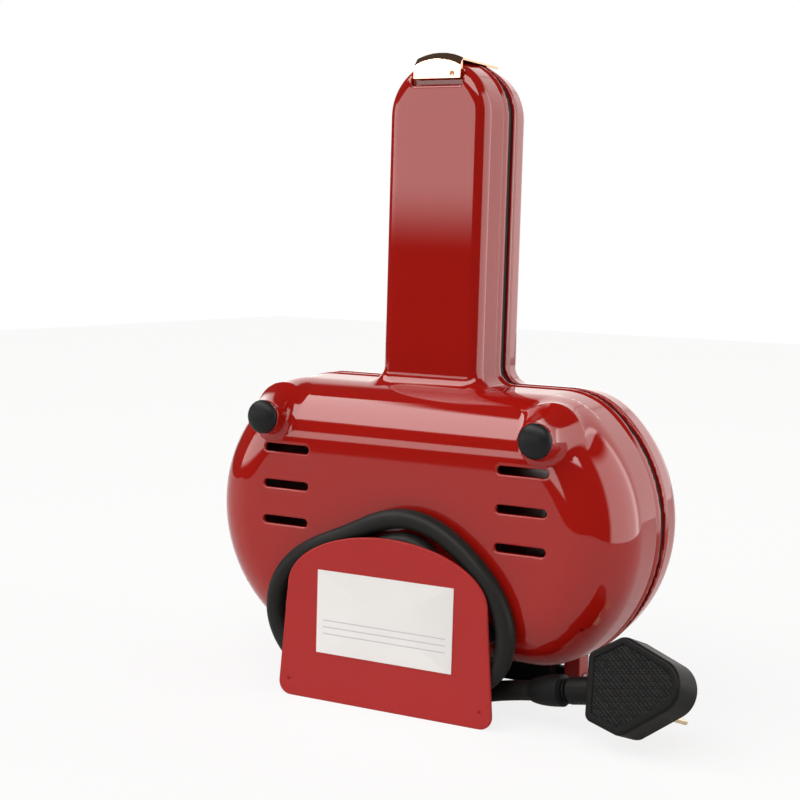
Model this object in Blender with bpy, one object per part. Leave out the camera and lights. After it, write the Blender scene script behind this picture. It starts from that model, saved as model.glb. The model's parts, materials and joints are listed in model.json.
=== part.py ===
"""A mini sandwich maker with a hinged lid, standing on its hinge end, with its cord wound on a post.

Metres, +Z up along the handle. The parting plane between the two halves is y = 0 of the root empty: the lower
half lies towards -Y, with the feet and the cord wrap plate, and the lid lies towards +Y.
"""

import math
from dataclasses import dataclass

import bmesh
import bpy
from mathutils import Euler, Matrix, Vector

# Clearances
CLEARANCE = 0.0003
RUNNING_CLEARANCE = 0.00008
FACE_GAP = 0.00005
OVERRUN = 0.001
MERGE = 0.000001

# Body, seen along Y: round ends and a flat top and bottom, with a tighter arc where they meet
BODY_ARC_PLACE = 0.0287
BODY_RADIUS = 0.0573
BODY_CORNER = 0.028
BODY_HALF_HEIGHT = 0.0497
BODY_HEIGHT = 0.067
RIM_DEPTH = 0.0024
WALL = 0.002
LOWER_DEPTH = 0.0407
LOWER_ROUNDING = 0.0216
LOWER_DRAFT = 0.0018
UPPER_DEPTH = 0.033
UPPER_ROUNDING = 0.0195
UPPER_DRAFT = 0.0016

# Handle
HANDLE_HALF_WIDTH = 0.0211
HANDLE_TIP_HEIGHT = 0.2146
HANDLE_ROOT_FILLET = 0.006
HANDLE_ROUNDING = 0.0053
HANDLE_DRAFT = 0.0011
LOWER_HANDLE_DEPTH = 0.0204
UPPER_HANDLE_DEPTH = 0.0177
HANDLE_OVERLAP = 0.02

# Rim frames
FRAME_INSET = 0.0008
PARTING_GAP = 0.00015
FRAME_SCREW_HEIGHTS = (0.150, 0.200)
FRAME_HEAD = 0.001

# Feet, on bosses of the lower shell
FOOT_PLACE = 0.0549
FOOT_HEIGHT = 0.1024
FOOT_RADIUS = 0.0062
FOOT_CAP_SIDE = 0.0012
FOOT_STEM_RADIUS = 0.0039
FOOT_STEM = 0.006
FOOT_BOSS_DEPTH = 0.046
FOOT_BOSS_FLARE = 0.0028
FOOT_BOSS_LENGTH = 0.0093
FOOT_POST_RADIUS = 0.006
FOOT_FLOOR_DEPTH = 0.036
FOOT_FLOOR = 0.0042

# Vent slots
SLOT_PLACE = 0.048
SLOT_LENGTH = 0.0193
SLOT_WIDTH = 0.003
SLOT_LOWEST = 0.0631
SLOT_PITCH = 0.0137
SLOT_COUNT = 3

# Cord wrap plate and post
PLATE_FACE_DEPTH = 0.0495
PLATE_THICKNESS = 0.0012
PLATE_SINK = 0.0008
PLATE_FOOT_HALF_WIDTH = 0.04395
PLATE_CORNER = 0.0053
PLATE_HALF_WIDTH = 0.0406
PLATE_SHOULDER = 0.042
PLATE_ARCH = 0.021
POST_HALF_WIDTH = 0.026
POST_HALF_HEIGHT = 0.0115
POST_HEIGHT = 0.0355
POST_SCREW_PLACE = 0.016
POST_SCREW_HEIGHT = 0.030
LABEL_WIDTH = 0.0552
LABEL_TALL = 0.0307
LABEL_HEIGHT = 0.0333
LABEL_THICKNESS = 0.00025
LABEL_CORNER = 0.001

# Latch
LATCH_HALF_WIDTH = 0.0094
LATCH_RECESS_HALF_WIDTH = 0.01025
LATCH_RECESS_HEIGHT = 0.225
LATCH_RECESS = 0.0025
LATCH_LEG_HEIGHT = 0.2276
LATCH_LEG = 0.0022
LATCH_STRIP = 0.00095
LATCH_STRIP_GAP = 0.00055
LATCH_AXIS_DEPTH = 0.010
LATCH_AXIS_HEIGHT = 0.2285
LATCH_KNUCKLE_RADIUS = 0.0024
LATCH_NOTCH_DEPTH = 0.005
LATCH_NOTCH_HEIGHT = 0.2243
LATCH_CHEEK = 0.0032
LATCH_PIN_RADIUS = 0.001
LATCH_PIN_BORE = LATCH_PIN_RADIUS + RUNNING_CLEARANCE
LATCH_WEB_HALF = 0.006
LATCH_WEB_SHARE = 1.01

# Hinge
HINGE_DEPTH = 0.016
BARREL_RADIUS = 0.0044
BARREL_HALF_LENGTH = 0.0451
EAR_INNER = 0.0455
EAR_OUTER = 0.052
EAR_TOP = 0.0242
HINGE_PIN_RADIUS = 0.0023
BARREL_BORE = HINGE_PIN_RADIUS + RUNNING_CLEARANCE
HINGE_PIN_INNER = 0.038
SLEEVE_HALF_LENGTH = 0.036
SLEEVE_BORE = 0.0013
ARM_INNER = 0.006
ARM_OUTER = 0.042
ARM_TOP = 0.0169
ARM_THICKNESS = 0.0018
ARM_END_DEPTH = 0.013
BRACKET_SCREW_DEPTH = 0.008
BRACKET_POST_RADIUS = 0.004
BRACKET_POST_TOP = 0.0248

# Cooking plates, heaters and reflectors
COOKING_INSET = 0.0083
COOKING_RIM_DEPTH = 0.0003
COOKING_DECK = 0.003
POCKET_DEPTH = 0.011
POCKET_FLOOR = 0.0025
POCKET_PLACE = 0.033
POCKET_WIDTH = 0.054
POCKET_TALL = 0.058
POCKET_CORNER = 0.009
COOKING_BOSS_RADIUS = 0.004
HEATER_RADIUS = 0.003
HEATER_LOOP_RADIUS = 0.022
HEATER_END_PLACE = 0.008
HEATER_BEND = 0.007
HEATER_END_DEPTH = 0.026
REFLECTOR_INSET = 0.012
REFLECTOR_THICKNESS = 0.0008
REFLECTOR_HOLE_MARGIN = 0.0008
THERMOSTAT_PLACE = -0.020
THERMOSTAT_RADIUS = 0.008
THERMOSTAT_THICKNESS = 0.007
THERMOSTAT_BASE_RADIUS = 0.0055
THERMOSTAT_BASE = 0.004
FUSE_RADIUS = 0.0022
FUSE_HALF_LENGTH = 0.008
FUSE_HEIGHT = 0.086
TERMINAL_SIZE = (0.024, 0.010, 0.012)
TERMINAL_PLACE = 0.012
TERMINAL_HEIGHT = 0.062

# Screws
SCREW_RADIUS = 0.0015
SCREW_HEAD_RADIUS = 0.003
SCREW_HEAD = 0.0018
SCREW_SEAT = 0.0007
SCREW_HOLE = 0.0018
SCREW_POST_RADIUS = 0.004
SCREW_THREAD = 0.008

# Lamps on the lid
LAMP_PLACE = 0.007
LAMP_HEIGHT = 0.090
LAMP_RADIUS = 0.0025
LAMP_DOME = 0.001
LAMP_SINK = 0.0002
LAMP_FLANGE_RADIUS = 0.0036
LAMP_FLANGE = 0.0008
LAMP_HOLDER_SIZE = (0.026, 0.004, 0.012)

# Cord: the winding lies in one layer between the lower shell and the wrap plate, about the loop centre
CORD_RADIUS = 0.0036
CORD_DEPTH = 0.0445
LOOP_HEIGHT = 0.032
LOOP_RADIUS = 0.0384
LOOP_WAVES_COS = (-0.0002, 0.0073, -0.0013, 0.0015)
LOOP_WAVES_SIN = (0.0038, 0.0006, -0.0012, -0.0006)
LOOP_STEP = 0.0082
LOOP_LEFT_STEP = 0.0045
LOOP_START_STEP = 0.006
LOOP_START_ANGLE = 21.0
LOOP_START_BLEND = 60.0
LOOP_CROSS_START = 292.0
LOOP_CROSS_END = 352.0
LOOP_END_ANGLE = 607.0
LOOP_POINTS_PER_TURN = 24
GLAND_WIDTH = 0.0084
GLAND_LENGTH = 0.0105
GLAND_STEM_BACK = 0.006
GLAND_STEM_RADIUS = 0.0039
GLAND_STEM_DEPTH = 0.028
CLAMP_SIZE = (0.018, 0.003, 0.013)
WIRE_RADIUS = 0.0011
WIRE_SPACING = 0.0032
WIRE_BEND = 0.004
LEAD_ROUTE = (
    (0.0070, -0.0435, 0.0039),
    (0.0149, -0.0409, 0.0046),
    (0.0224, -0.0377, 0.0060),
    (0.0301, -0.0349, 0.0079),
    (0.0380, -0.0334, 0.0098),
)
LEAD_SPACING = 0.008
LEAD_STRAIGHT = 0.003

# Plug: its own frame has X from the cord's side to the rounded tip, Y towards the pins and Z up
PLUG_ORIGIN = (0.0761, -0.0452, 0.0208)
PLUG_TURN = (-20.3, -11.0, -9.9)
PLUG_THICKNESS = 0.0133
PLUG_LENGTH = 0.0357
PLUG_END_HALF = 0.0112
PLUG_SHOULDER = 0.014
PLUG_SHOULDER_HALF = 0.017
PLUG_TIP_RADIUS = 0.0095
PLUG_EDGE = 0.0014
PLUG_ENTRY_DROP = 0.0008
RELIEF_NECK_RADIUS = 0.0048
RELIEF_COLLAR_RADIUS = 0.0056
RELIEF_END_RADIUS = 0.0044
RELIEF_NECK = 0.0095
RELIEF_GROOVE = 0.0028
RELIEF_COLLAR = 0.0125
PIN_LENGTH = 0.017
PIN_WIDTH = 0.0063
PIN_THICKNESS = 0.0016
PIN_ROOT = 0.004
PIN_SPREAD = 0.0069
PIN_ROW = 0.0205
PIN_EARTH_ROW = 0.0105
PIN_SLANT = 30.0

# Counts
ARC_STEPS = 18
END_STEPS = 5
ROUNDING_STEPS = 6
HANDLE_ROUNDING_STEPS = 3
ROUND_SIDES = 16
HOLE_SIDES = 12
CORNER_STEPS = 5
FLARE_STEPS = 4
DOME_STEPS = 5
LENS_STEPS = 3
SHARP_ANGLE = 30.0


@dataclass(frozen=True)
class Half:
    """One half of the body: its side of the parting plane and its depths from it."""

    side: int
    depth: float
    rounding: float
    draft: float
    handle_depth: float


LOWER = Half(-1, LOWER_DEPTH, LOWER_ROUNDING, LOWER_DRAFT, LOWER_HANDLE_DEPTH)
UPPER = Half(1, UPPER_DEPTH, UPPER_ROUNDING, UPPER_DRAFT, UPPER_HANDLE_DEPTH)

FRONT_DEPTH = PLATE_FACE_DEPTH + FACE_GAP + LABEL_THICKNESS
PARTING_Y = (FRONT_DEPTH - UPPER_DEPTH) / 2
BODY_TOP = BODY_HEIGHT + BODY_HALF_HEIGHT
BODY_BOTTOM = BODY_HEIGHT - BODY_HALF_HEIGHT
CORNER_RISE = BODY_HALF_HEIGHT - BODY_CORNER
CORNER_RUN = math.sqrt((BODY_RADIUS - BODY_CORNER) ** 2 - CORNER_RISE**2)
CORNER_TURN = math.degrees(math.atan2(CORNER_RISE, CORNER_RUN))
HINGE_AXIS = Vector((0, HINGE_DEPTH, BARREL_RADIUS))
LATCH_AXIS = Vector((0, LATCH_AXIS_DEPTH, LATCH_AXIS_HEIGHT))
POCKET_OUTER_DEPTH = POCKET_DEPTH + POCKET_FLOOR
HEATER_DEPTH = POCKET_OUTER_DEPTH + CLEARANCE + HEATER_RADIUS
REFLECTOR_DEPTH = HEATER_DEPTH + HEATER_RADIUS + CLEARANCE
PLATE_INNER_DEPTH = PLATE_FACE_DEPTH - PLATE_THICKNESS
HANDLE_ROOT = BODY_TOP - HANDLE_OVERLAP


def clear_scene():
    """Remove every object of the startup scene."""
    for obj in list(bpy.data.objects):
        bpy.data.objects.remove(obj)


def new_collection(name, hidden=False):
    """Add a collection to the scene."""
    collection = bpy.data.collections.new(name)
    collection.hide_render = hidden
    bpy.context.scene.collection.children.link(collection)
    return collection


def new_material(name, colour, roughness, metallic=0.0):
    """A plain Principled material."""
    material = bpy.data.materials.new(name)
    material.use_nodes = True
    shader = material.node_tree.nodes["Principled BSDF"]
    shader.inputs["Base Color"].default_value = (*colour, 1.0)
    shader.inputs["Roughness"].default_value = roughness
    shader.inputs["Metallic"].default_value = metallic
    material.diffuse_color = (*colour, 1.0)
    return material


clear_scene()
PARTS = new_collection("mini_sandwich_maker")
CUTTERS = new_collection("cutters", hidden=True)

RED_GLOSS = new_material("red_gloss", (0.42, 0.012, 0.010), 0.12)
RED_SATIN = new_material("red_satin", (0.40, 0.022, 0.020), 0.38)
BLACK_PLASTIC = new_material("black_plastic", (0.012, 0.012, 0.013), 0.35)
BLACK_RUBBER = new_material("black_rubber", (0.020, 0.021, 0.022), 0.62)
BLACK_CORD = new_material("black_cord", (0.022, 0.022, 0.021), 0.48)
ROSE_GOLD = new_material("rose_gold", (0.80, 0.46, 0.33), 0.10, 1.0)
NONSTICK = new_material("nonstick", (0.020, 0.020, 0.022), 0.30)
HEATER_STEEL = new_material("heater_steel", (0.24, 0.22, 0.20), 0.45, 1.0)
BRIGHT_STEEL = new_material("bright_steel", (0.62, 0.62, 0.63), 0.22, 1.0)
REFLECTOR_METAL = new_material("reflector_metal", (0.78, 0.78, 0.79), 0.20, 1.0)
WHITE_PAPER = new_material("white_paper", (0.86, 0.86, 0.84), 0.50)
CREAM_NYLON = new_material("cream_nylon", (0.75, 0.70, 0.58), 0.50)
PIN_BRASS = new_material("pin_brass", (0.80, 0.66, 0.42), 0.25, 1.0)
WIRE_COVER = new_material("wire_cover", (0.16, 0.08, 0.04), 0.50)
LENS_RED = new_material("lens_red", (0.70, 0.03, 0.02), 0.08)
LENS_GREEN = new_material("lens_green", (0.03, 0.45, 0.08), 0.08)


def new_empty(name, place, parent=None):
    """An empty at a place given in its parent's frame."""
    empty = bpy.data.objects.new(name, None)
    empty.location = place
    empty.parent = parent
    PARTS.objects.link(empty)
    return empty


ROOT = new_empty("sandwich_maker_root", (0, PARTING_Y, 0))
LID = new_empty("lid_hinge_axis", HINGE_AXIS, ROOT)
LATCH = new_empty("latch_pivot_axis", LATCH_AXIS - HINGE_AXIS, LID)
AXIS_OF = {ROOT: Vector(), LID: HINGE_AXIS, LATCH: LATCH_AXIS}


def finish(mesh_data, name, material, place=(0, 0, 0), carrier=ROOT, turn=None):
    """Turn a bmesh into an object; a place is in the parting plane's frame, and carrier is the empty it moves with."""
    bmesh.ops.recalc_face_normals(mesh_data, faces=mesh_data.faces)
    mesh = bpy.data.meshes.new(name)
    mesh_data.to_mesh(mesh)
    mesh_data.free()
    obj = bpy.data.objects.new(name, mesh)
    obj.parent = carrier
    obj.location = Vector(place) - AXIS_OF[carrier]
    if turn is not None:
        obj.rotation_euler = turn
    if material is None:
        obj.display_type = "WIRE"
        obj.hide_render = True
        CUTTERS.objects.link(obj)
    else:
        mesh.materials.append(material)
        mesh.shade_smooth()
        mesh.set_sharp_from_angle(angle=math.radians(SHARP_ANGLE))
        PARTS.objects.link(obj)
    return obj


TO_DEPTH = {-1: Matrix.Rotation(math.radians(90), 4, "X"), 1: Matrix.Rotation(math.radians(-90), 4, "X")}
ALONG_X = Matrix.Rotation(math.radians(90), 4, "Y")


def boolean(target, tool, operation):
    """Add one exact Boolean modifier."""
    modifier = target.modifiers.new(tool.name, "BOOLEAN")
    modifier.operation = operation
    modifier.object = tool


def join(target, *tools):
    """Unite the target with each tool."""
    for tool in tools:
        boolean(target, tool, "UNION")


def cut(target, *tools):
    """Cut each tool out of the target."""
    for tool in tools:
        boolean(target, tool, "DIFFERENCE")


def arc(centre, radius, start, end, steps):
    """Points of an arc from start to end degrees, with both ends."""
    turns = [math.radians(start + (end - start) * step / steps) for step in range(steps + 1)]
    return [(centre[0] + radius * math.cos(turn), centre[1] + radius * math.sin(turn)) for turn in turns]


def body_outline(inset):
    """Outline of the body, drawn in by inset."""
    corner = (BODY_ARC_PLACE + CORNER_RUN, BODY_HEIGHT + CORNER_RISE)
    above = arc(corner, BODY_CORNER - inset, CORNER_TURN, 90, CORNER_STEPS)
    end = arc((BODY_ARC_PLACE, BODY_HEIGHT), BODY_RADIUS - inset, 0, CORNER_TURN, END_STEPS)
    quarter = end + above[1:]
    below = [(x, 2 * BODY_HEIGHT - z) for x, z in reversed(quarter)]
    right = below[:-1] + quarter
    return right + [(-x, z) for x, z in reversed(right)]


def outline_inset(x, height):
    """How far inside the body's outline a place is."""
    run = abs(x) - BODY_ARC_PLACE
    rise = abs(height - BODY_HEIGHT)
    if run * CORNER_RISE > rise * CORNER_RUN:
        return BODY_RADIUS - math.hypot(run, rise)
    if run < CORNER_RUN:
        return BODY_HALF_HEIGHT - rise
    return BODY_CORNER - math.hypot(run - CORNER_RUN, rise - CORNER_RISE)


def handle_outline(inset):
    """Outline of the handle with its root fillets, drawn in by inset; its root lies inside the body."""
    root = HANDLE_HALF_WIDTH + HANDLE_ROOT_FILLET
    fillet = HANDLE_ROOT_FILLET + inset
    centre_height = BODY_TOP + HANDLE_ROOT_FILLET
    right = arc((root, centre_height), fillet, -90, -180, CORNER_STEPS)
    tip = arc((0, HANDLE_TIP_HEIGHT), HANDLE_HALF_WIDTH - inset, 0, 180, ARC_STEPS)
    left = arc((-root, centre_height), fillet, 0, -90, CORNER_STEPS)
    return [(root, HANDLE_ROOT)] + right + tip + left + [(-root, HANDLE_ROOT)]


def rounded_rectangle(width, tall, corner, centre=(0, 0)):
    """Outline of a rectangle with round corners."""
    reach_x = width / 2 - corner
    reach_z = tall / 2 - corner
    points = []
    for quarter, (sign_x, sign_z) in enumerate(((1, -1), (1, 1), (-1, 1), (-1, -1))):
        middle = (centre[0] + sign_x * reach_x, centre[1] + sign_z * reach_z)
        points += arc(middle, corner, 90 * (quarter - 1), 90 * quarter, CORNER_STEPS)
    return points


def prism(outline, near, far, side=-1, far_outline=None, rounding=0.0, steps=1, data=None):
    """A prism from depth near to depth far on one side of the parting plane, with its far edge rounded."""
    data = data or bmesh.new()
    corners = [data.verts.new((x, side * near, z)) for x, z in outline]
    base = data.faces.new(corners)
    made = bmesh.ops.extrude_face_region(data, geom=[base])["geom"]
    moved = [item for item in made if isinstance(item, bmesh.types.BMVert)]
    cap = [item for item in made if isinstance(item, bmesh.types.BMFace)]
    bmesh.ops.translate(data, verts=moved, vec=(0, side * (far - near), 0))
    if far_outline:
        for vert in moved:
            away = [math.hypot(vert.co.x - x, vert.co.z - z) for x, z in outline]
            vert.co.x, vert.co.z = far_outline[away.index(min(away))]
    if rounding:
        edges = list({edge for face in cap for edge in face.edges})
        bmesh.ops.recalc_face_normals(data, faces=data.faces)
        bmesh.ops.bevel(
            data, geom=edges, offset=rounding, offset_type="OFFSET", segments=steps, profile=0.5, affect="EDGES"
        )
    return data


def turned(profile, matrix, sides=ROUND_SIDES, data=None):
    """A turned solid: the profile holds (radius, height) points, and matrix places its axis, which is its Z."""
    data = data or bmesh.new()
    points = [data.verts.new((radius, 0, height)) for radius, height in profile]
    edges = [data.edges.new(pair) for pair in zip(points, points[1:])]
    if profile[0][0] > 0 and profile[-1][0] > 0:
        edges.append(data.edges.new((points[-1], points[0])))
    bmesh.ops.spin(
        data, geom=points + edges, cent=(0, 0, 0), axis=(0, 0, 1), angle=2 * math.pi, steps=sides, use_merge=True
    )
    bmesh.ops.remove_doubles(data, verts=data.verts, dist=MERGE)
    bmesh.ops.transform(data, matrix=matrix, verts=data.verts)
    return data


def rod(radius, start, end, matrix, sides=ROUND_SIDES):
    """A cylinder from start to end along the matrix's Z."""
    return turned([(0, end), (radius, end), (radius, start), (0, start)], matrix, sides)


def pipe(radius, bore, start, end, matrix, sides=ROUND_SIDES):
    """A cylinder with a bore."""
    return turned([(bore, end), (radius, end), (radius, start), (bore, start)], matrix, sides)


def box(low, high):
    """A box between two corners."""
    data = bmesh.new()
    bmesh.ops.create_cube(data, size=1)
    size = Vector(high) - Vector(low)
    bmesh.ops.scale(data, vec=size, verts=data.verts)
    bmesh.ops.translate(data, verts=data.verts, vec=Vector(low) + size / 2)
    return data


def merge_meshes(shapes):
    """Several separate shapes as the one mesh of a cutter."""
    whole = bmesh.new()
    for shape in shapes:
        loose = bpy.data.meshes.new("loose")
        bmesh.ops.recalc_face_normals(shape, faces=shape.faces)
        shape.to_mesh(loose)
        shape.free()
        whole.from_mesh(loose)
        bpy.data.meshes.remove(loose)
    return whole


def at(x, depth, height, side=-1):
    """Matrix of a shape whose Z runs away from the parting plane, on the side given."""
    return Matrix.Translation((x, side * depth, height)) @ TO_DEPTH[side]


def tube(name, points, radius, material, sides_setting, carrier=ROOT):
    """A tube with closed ends along the points."""
    curve = bpy.data.curves.new(name, "CURVE")
    curve.dimensions = "3D"
    curve.bevel_depth = radius
    curve.bevel_resolution = sides_setting
    curve.use_fill_caps = True
    spline = curve.splines.new("POLY")
    spline.points.add(len(points) - 1)
    for target, point in zip(spline.points, points):
        target.co = (*point, 1)
    curve.materials.append(material)
    obj = bpy.data.objects.new(name, curve)
    obj.parent = carrier
    obj.location = -AXIS_OF[carrier]
    PARTS.objects.link(obj)
    return obj


def smooth_route(route, spacing):
    """Points read at about the spacing from a smooth curve through the route's own points."""
    points = [Vector(point) for point in route]
    ends = [2 * points[0] - points[1]] + points + [2 * points[-1] - points[-2]]
    smooth = []
    for before, start, end, after in zip(ends, ends[1:], ends[2:], ends[3:]):
        steps = max(1, round((end - start).length / spacing))
        for step in range(steps):
            share = step / steps
            bend = 2 * before - 5 * start + 4 * end - after
            twist = 3 * start - before - 3 * end + after
            smooth.append(start + share * (end - before) / 2 + share**2 * bend / 2 + share**3 * twist / 2)
    return smooth + [points[-1]]


def shell_depth(half, x, height, inset=0.0):
    """Depth of a half's face at a place, for its outer skin or for a skin drawn in by inset."""
    rounding = half.rounding - inset
    past = half.draft + inset + rounding - outline_inset(x, height)
    if past <= 0:
        return half.depth - inset
    return half.depth - inset - rounding + math.sqrt(rounding**2 - past**2)


def body_prism(half, inset, near):
    """The body's rounded form, drawn in by inset."""
    return prism(
        body_outline(inset),
        near,
        half.depth - inset,
        half.side,
        body_outline(inset + half.draft),
        half.rounding - inset,
        ROUNDING_STEPS,
    )


def handle_prism(half, inset, near):
    """The handle's rounded form, drawn in by inset."""
    return prism(
        handle_outline(inset),
        near,
        half.handle_depth - inset,
        half.side,
        handle_outline(inset + HANDLE_DRAFT),
        HANDLE_ROUNDING - inset,
        HANDLE_ROUNDING_STEPS,
    )


def screw(name, head_top, shank_length, matrix, carrier=ROOT, head_radius=SCREW_HEAD_RADIUS, head=SCREW_HEAD):
    """A pan head screw whose matrix's Z points from the head along the shank, with the head's top at head_top."""
    chamfer = head / 3
    tip = SCREW_RADIUS / 2
    seat = head_top + head
    profile = [
        (0, head_top),
        (head_radius - chamfer, head_top),
        (head_radius, head_top + chamfer),
        (head_radius, seat),
        (SCREW_RADIUS, seat),
        (SCREW_RADIUS, seat + shank_length - SCREW_RADIUS),
        (tip, seat + shank_length),
        (0, seat + shank_length),
    ]
    return finish(turned(profile, matrix, HOLE_SIDES), name, BRIGHT_STEEL, carrier=carrier)


def holes(name, half, places, radius, near, far):
    """One cutter with a round hole at each place."""
    shapes = [rod(radius, near, far, at(x, 0, height, half.side), HOLE_SIDES) for x, height in places]
    return finish(merge_meshes(shapes), name, None)


def stepped_holes(name, half, places, near, seat, far, near_radius, far_radius):
    """One cutter with a stepped hole at each place, whose radius changes at the seat's depth."""
    profile = [(0, far), (far_radius, far), (far_radius, seat), (near_radius, seat), (near_radius, near), (0, near)]
    shapes = [turned(profile, at(x, 0, height, half.side), HOLE_SIDES) for x, height in places]
    return finish(merge_meshes(shapes), name, None)


FOOT_PLACES = [(-FOOT_PLACE, FOOT_HEIGHT), (FOOT_PLACE, FOOT_HEIGHT)]
POST_PLACES = [(-POST_SCREW_PLACE, POST_SCREW_HEIGHT), (POST_SCREW_PLACE, POST_SCREW_HEIGHT)]
COOKING_PLACES = FOOT_PLACES + POST_PLACES
FRAME_SCREWS = [(0, height) for height in FRAME_SCREW_HEIGHTS]
SIDES = ((-1, "left"), (1, "right"))


def loop_radius(angle):
    """Distance of the outer strand from the loop centre, at an angle in degrees."""
    turn = math.radians(angle)
    waves = sum(size * math.cos((order + 1) * turn) for order, size in enumerate(LOOP_WAVES_COS))
    waves += sum(size * math.sin((order + 1) * turn) for order, size in enumerate(LOOP_WAVES_SIN))
    return LOOP_RADIUS + waves


def ease(share):
    """A smooth step from 0 to 1."""
    share = min(max(share, 0), 1)
    return share * share * (3 - 2 * share)


def winding_point(angle):
    """Centre of the cord at an angle along the winding, which starts on the inner strand."""
    crossed = ease((angle - LOOP_CROSS_START) / (LOOP_CROSS_END - LOOP_CROSS_START))
    leftness = ((1 - math.cos(math.radians(angle))) / 2) ** 3
    start = 1 - ease((angle - LOOP_START_ANGLE) / LOOP_START_BLEND)
    step = LOOP_STEP + LOOP_LEFT_STEP * leftness + LOOP_START_STEP * start
    radius = loop_radius(angle) - step * (1 - crossed)
    turn = math.radians(angle)
    return Vector((radius * math.cos(turn), -CORD_DEPTH, LOOP_HEIGHT + radius * math.sin(turn)))


def winding_points():
    """The cord's centre line on the post, with a straight length of one diameter at both ends."""
    pitch = 360 / LOOP_POINTS_PER_TURN
    steps = round((LOOP_END_ANGLE - LOOP_START_ANGLE) / pitch)
    angles = [LOOP_START_ANGLE + (LOOP_END_ANGLE - LOOP_START_ANGLE) * step / steps for step in range(steps + 1)]
    points = [winding_point(angle) for angle in angles]
    first = (winding_point(LOOP_START_ANGLE) - winding_point(LOOP_START_ANGLE + 1)).normalized()
    last = (winding_point(LOOP_END_ANGLE) - winding_point(LOOP_END_ANGLE - 1)).normalized()
    start = points[0] + 2 * CORD_RADIUS * first
    end = points[-1] + 2 * CORD_RADIUS * last
    return [start] + points + [end]


WINDING = winding_points()
GLAND_DIRECTION = (WINDING[0] - WINDING[1]).normalized()
GLAND_FACE = WINDING[0] + CLEARANCE * GLAND_DIRECTION
GLAND_STEM = GLAND_FACE + GLAND_STEM_BACK * GLAND_DIRECTION
STEM_PLACE = (GLAND_STEM.x, GLAND_STEM.z)


def least_gap(points, radius):
    """Least distance between the skins of two strands that aren't neighbours along the tube."""
    apart = round(math.pi * 2 * radius / (points[2] - points[1]).length) + 2
    fine = []
    for start, end in zip(points, points[1:]):
        fine += [start.lerp(end, share / 4) for share in range(4)]
    gaps = []
    for index, point in enumerate(fine):
        gaps += [(point - other).length for other in fine[index + 4 * apart :]]
    return min(gaps) - 2 * radius


def make_lower_shell():
    """The lower half's case, with its bosses, vents and latch recess."""
    shell = finish(body_prism(LOWER, 0, RIM_DEPTH + FACE_GAP), "lower_shell", RED_GLOSS)
    join(shell, finish(handle_prism(LOWER, 0, RIM_DEPTH + FACE_GAP), "lower_handle", None))
    profile = [(0, 0), (FOOT_RADIUS, 0)]
    for step in range(1, FLARE_STEPS + 1):
        share = step / FLARE_STEPS
        profile.append((FOOT_RADIUS + FOOT_BOSS_FLARE * share**2, FOOT_BOSS_LENGTH * share))
    profile.append((0, FOOT_BOSS_LENGTH))
    bosses = []
    for x, height in FOOT_PLACES:
        inward = at(x, FOOT_BOSS_DEPTH, height) @ Matrix.Rotation(math.pi, 4, "X")
        bosses.append(turned(profile, inward))
    join(shell, finish(merge_meshes(bosses), "foot_bosses", None))
    cut(shell, finish(body_prism(LOWER, WALL, RIM_DEPTH - OVERRUN), "lower_body_inside", None))
    inside = finish(handle_prism(LOWER, WALL, RIM_DEPTH - OVERRUN), "lower_handle_inside", None)
    pad_low = (-LATCH_RECESS_HALF_WIDTH - WALL, -LOWER_HANDLE_DEPTH, LATCH_RECESS_HEIGHT - WALL)
    pad_high = (LATCH_RECESS_HALF_WIDTH + WALL, -LOWER_HANDLE_DEPTH + LATCH_RECESS + WALL, 2 * LATCH_RECESS_HEIGHT)
    cut(inside, finish(box(pad_low, pad_high), "latch_pad", None))
    cut(shell, inside)
    join(shell, lower_posts())
    cut(shell, holes("stem_hole", LOWER, [STEM_PLACE], GLAND_STEM_RADIUS + CLEARANCE, GLAND_STEM_DEPTH, FRONT_DEPTH))
    cut(shell, finish(merge_meshes(slot_shapes()), "vent_slots", None))
    near = FOOT_FLOOR_DEPTH / 2
    bore = FOOT_STEM_RADIUS + CLEARANCE
    foot_bores = ("foot_bores", LOWER, FOOT_PLACES, near, FOOT_FLOOR_DEPTH, FRONT_DEPTH, SCREW_HOLE, bore)
    cut(shell, stepped_holes(*foot_bores))
    cut(shell, holes("plate_screw_holes", LOWER, POST_PLACES, SCREW_HOLE, near, FRONT_DEPTH))
    frame_far = RIM_DEPTH + SCREW_THREAD + 2 * OVERRUN
    cut(shell, holes("lower_post_bores", LOWER, FRAME_SCREWS, SCREW_HOLE, 0, frame_far))
    recess_low = (-LATCH_RECESS_HALF_WIDTH, -FRONT_DEPTH, LATCH_RECESS_HEIGHT)
    recess_high = (LATCH_RECESS_HALF_WIDTH, -LOWER_HANDLE_DEPTH + LATCH_RECESS, 2 * LATCH_RECESS_HEIGHT)
    cut(shell, finish(box(recess_low, recess_high), "latch_recess", None))
    bracket_bores = [
        rod(SCREW_HOLE, 0, BRACKET_POST_TOP - WALL / 2, Matrix.Translation((x, -BRACKET_SCREW_DEPTH, 0)), HOLE_SIDES)
        for x in bracket_places()
    ]
    cut(shell, finish(merge_meshes(bracket_bores), "bracket_screw_bores", None))


def bracket_places():
    """Where along X the bracket's two screws are."""
    return [sign * (ARM_INNER + ARM_OUTER) / 2 for sign, _ in SIDES]


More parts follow.
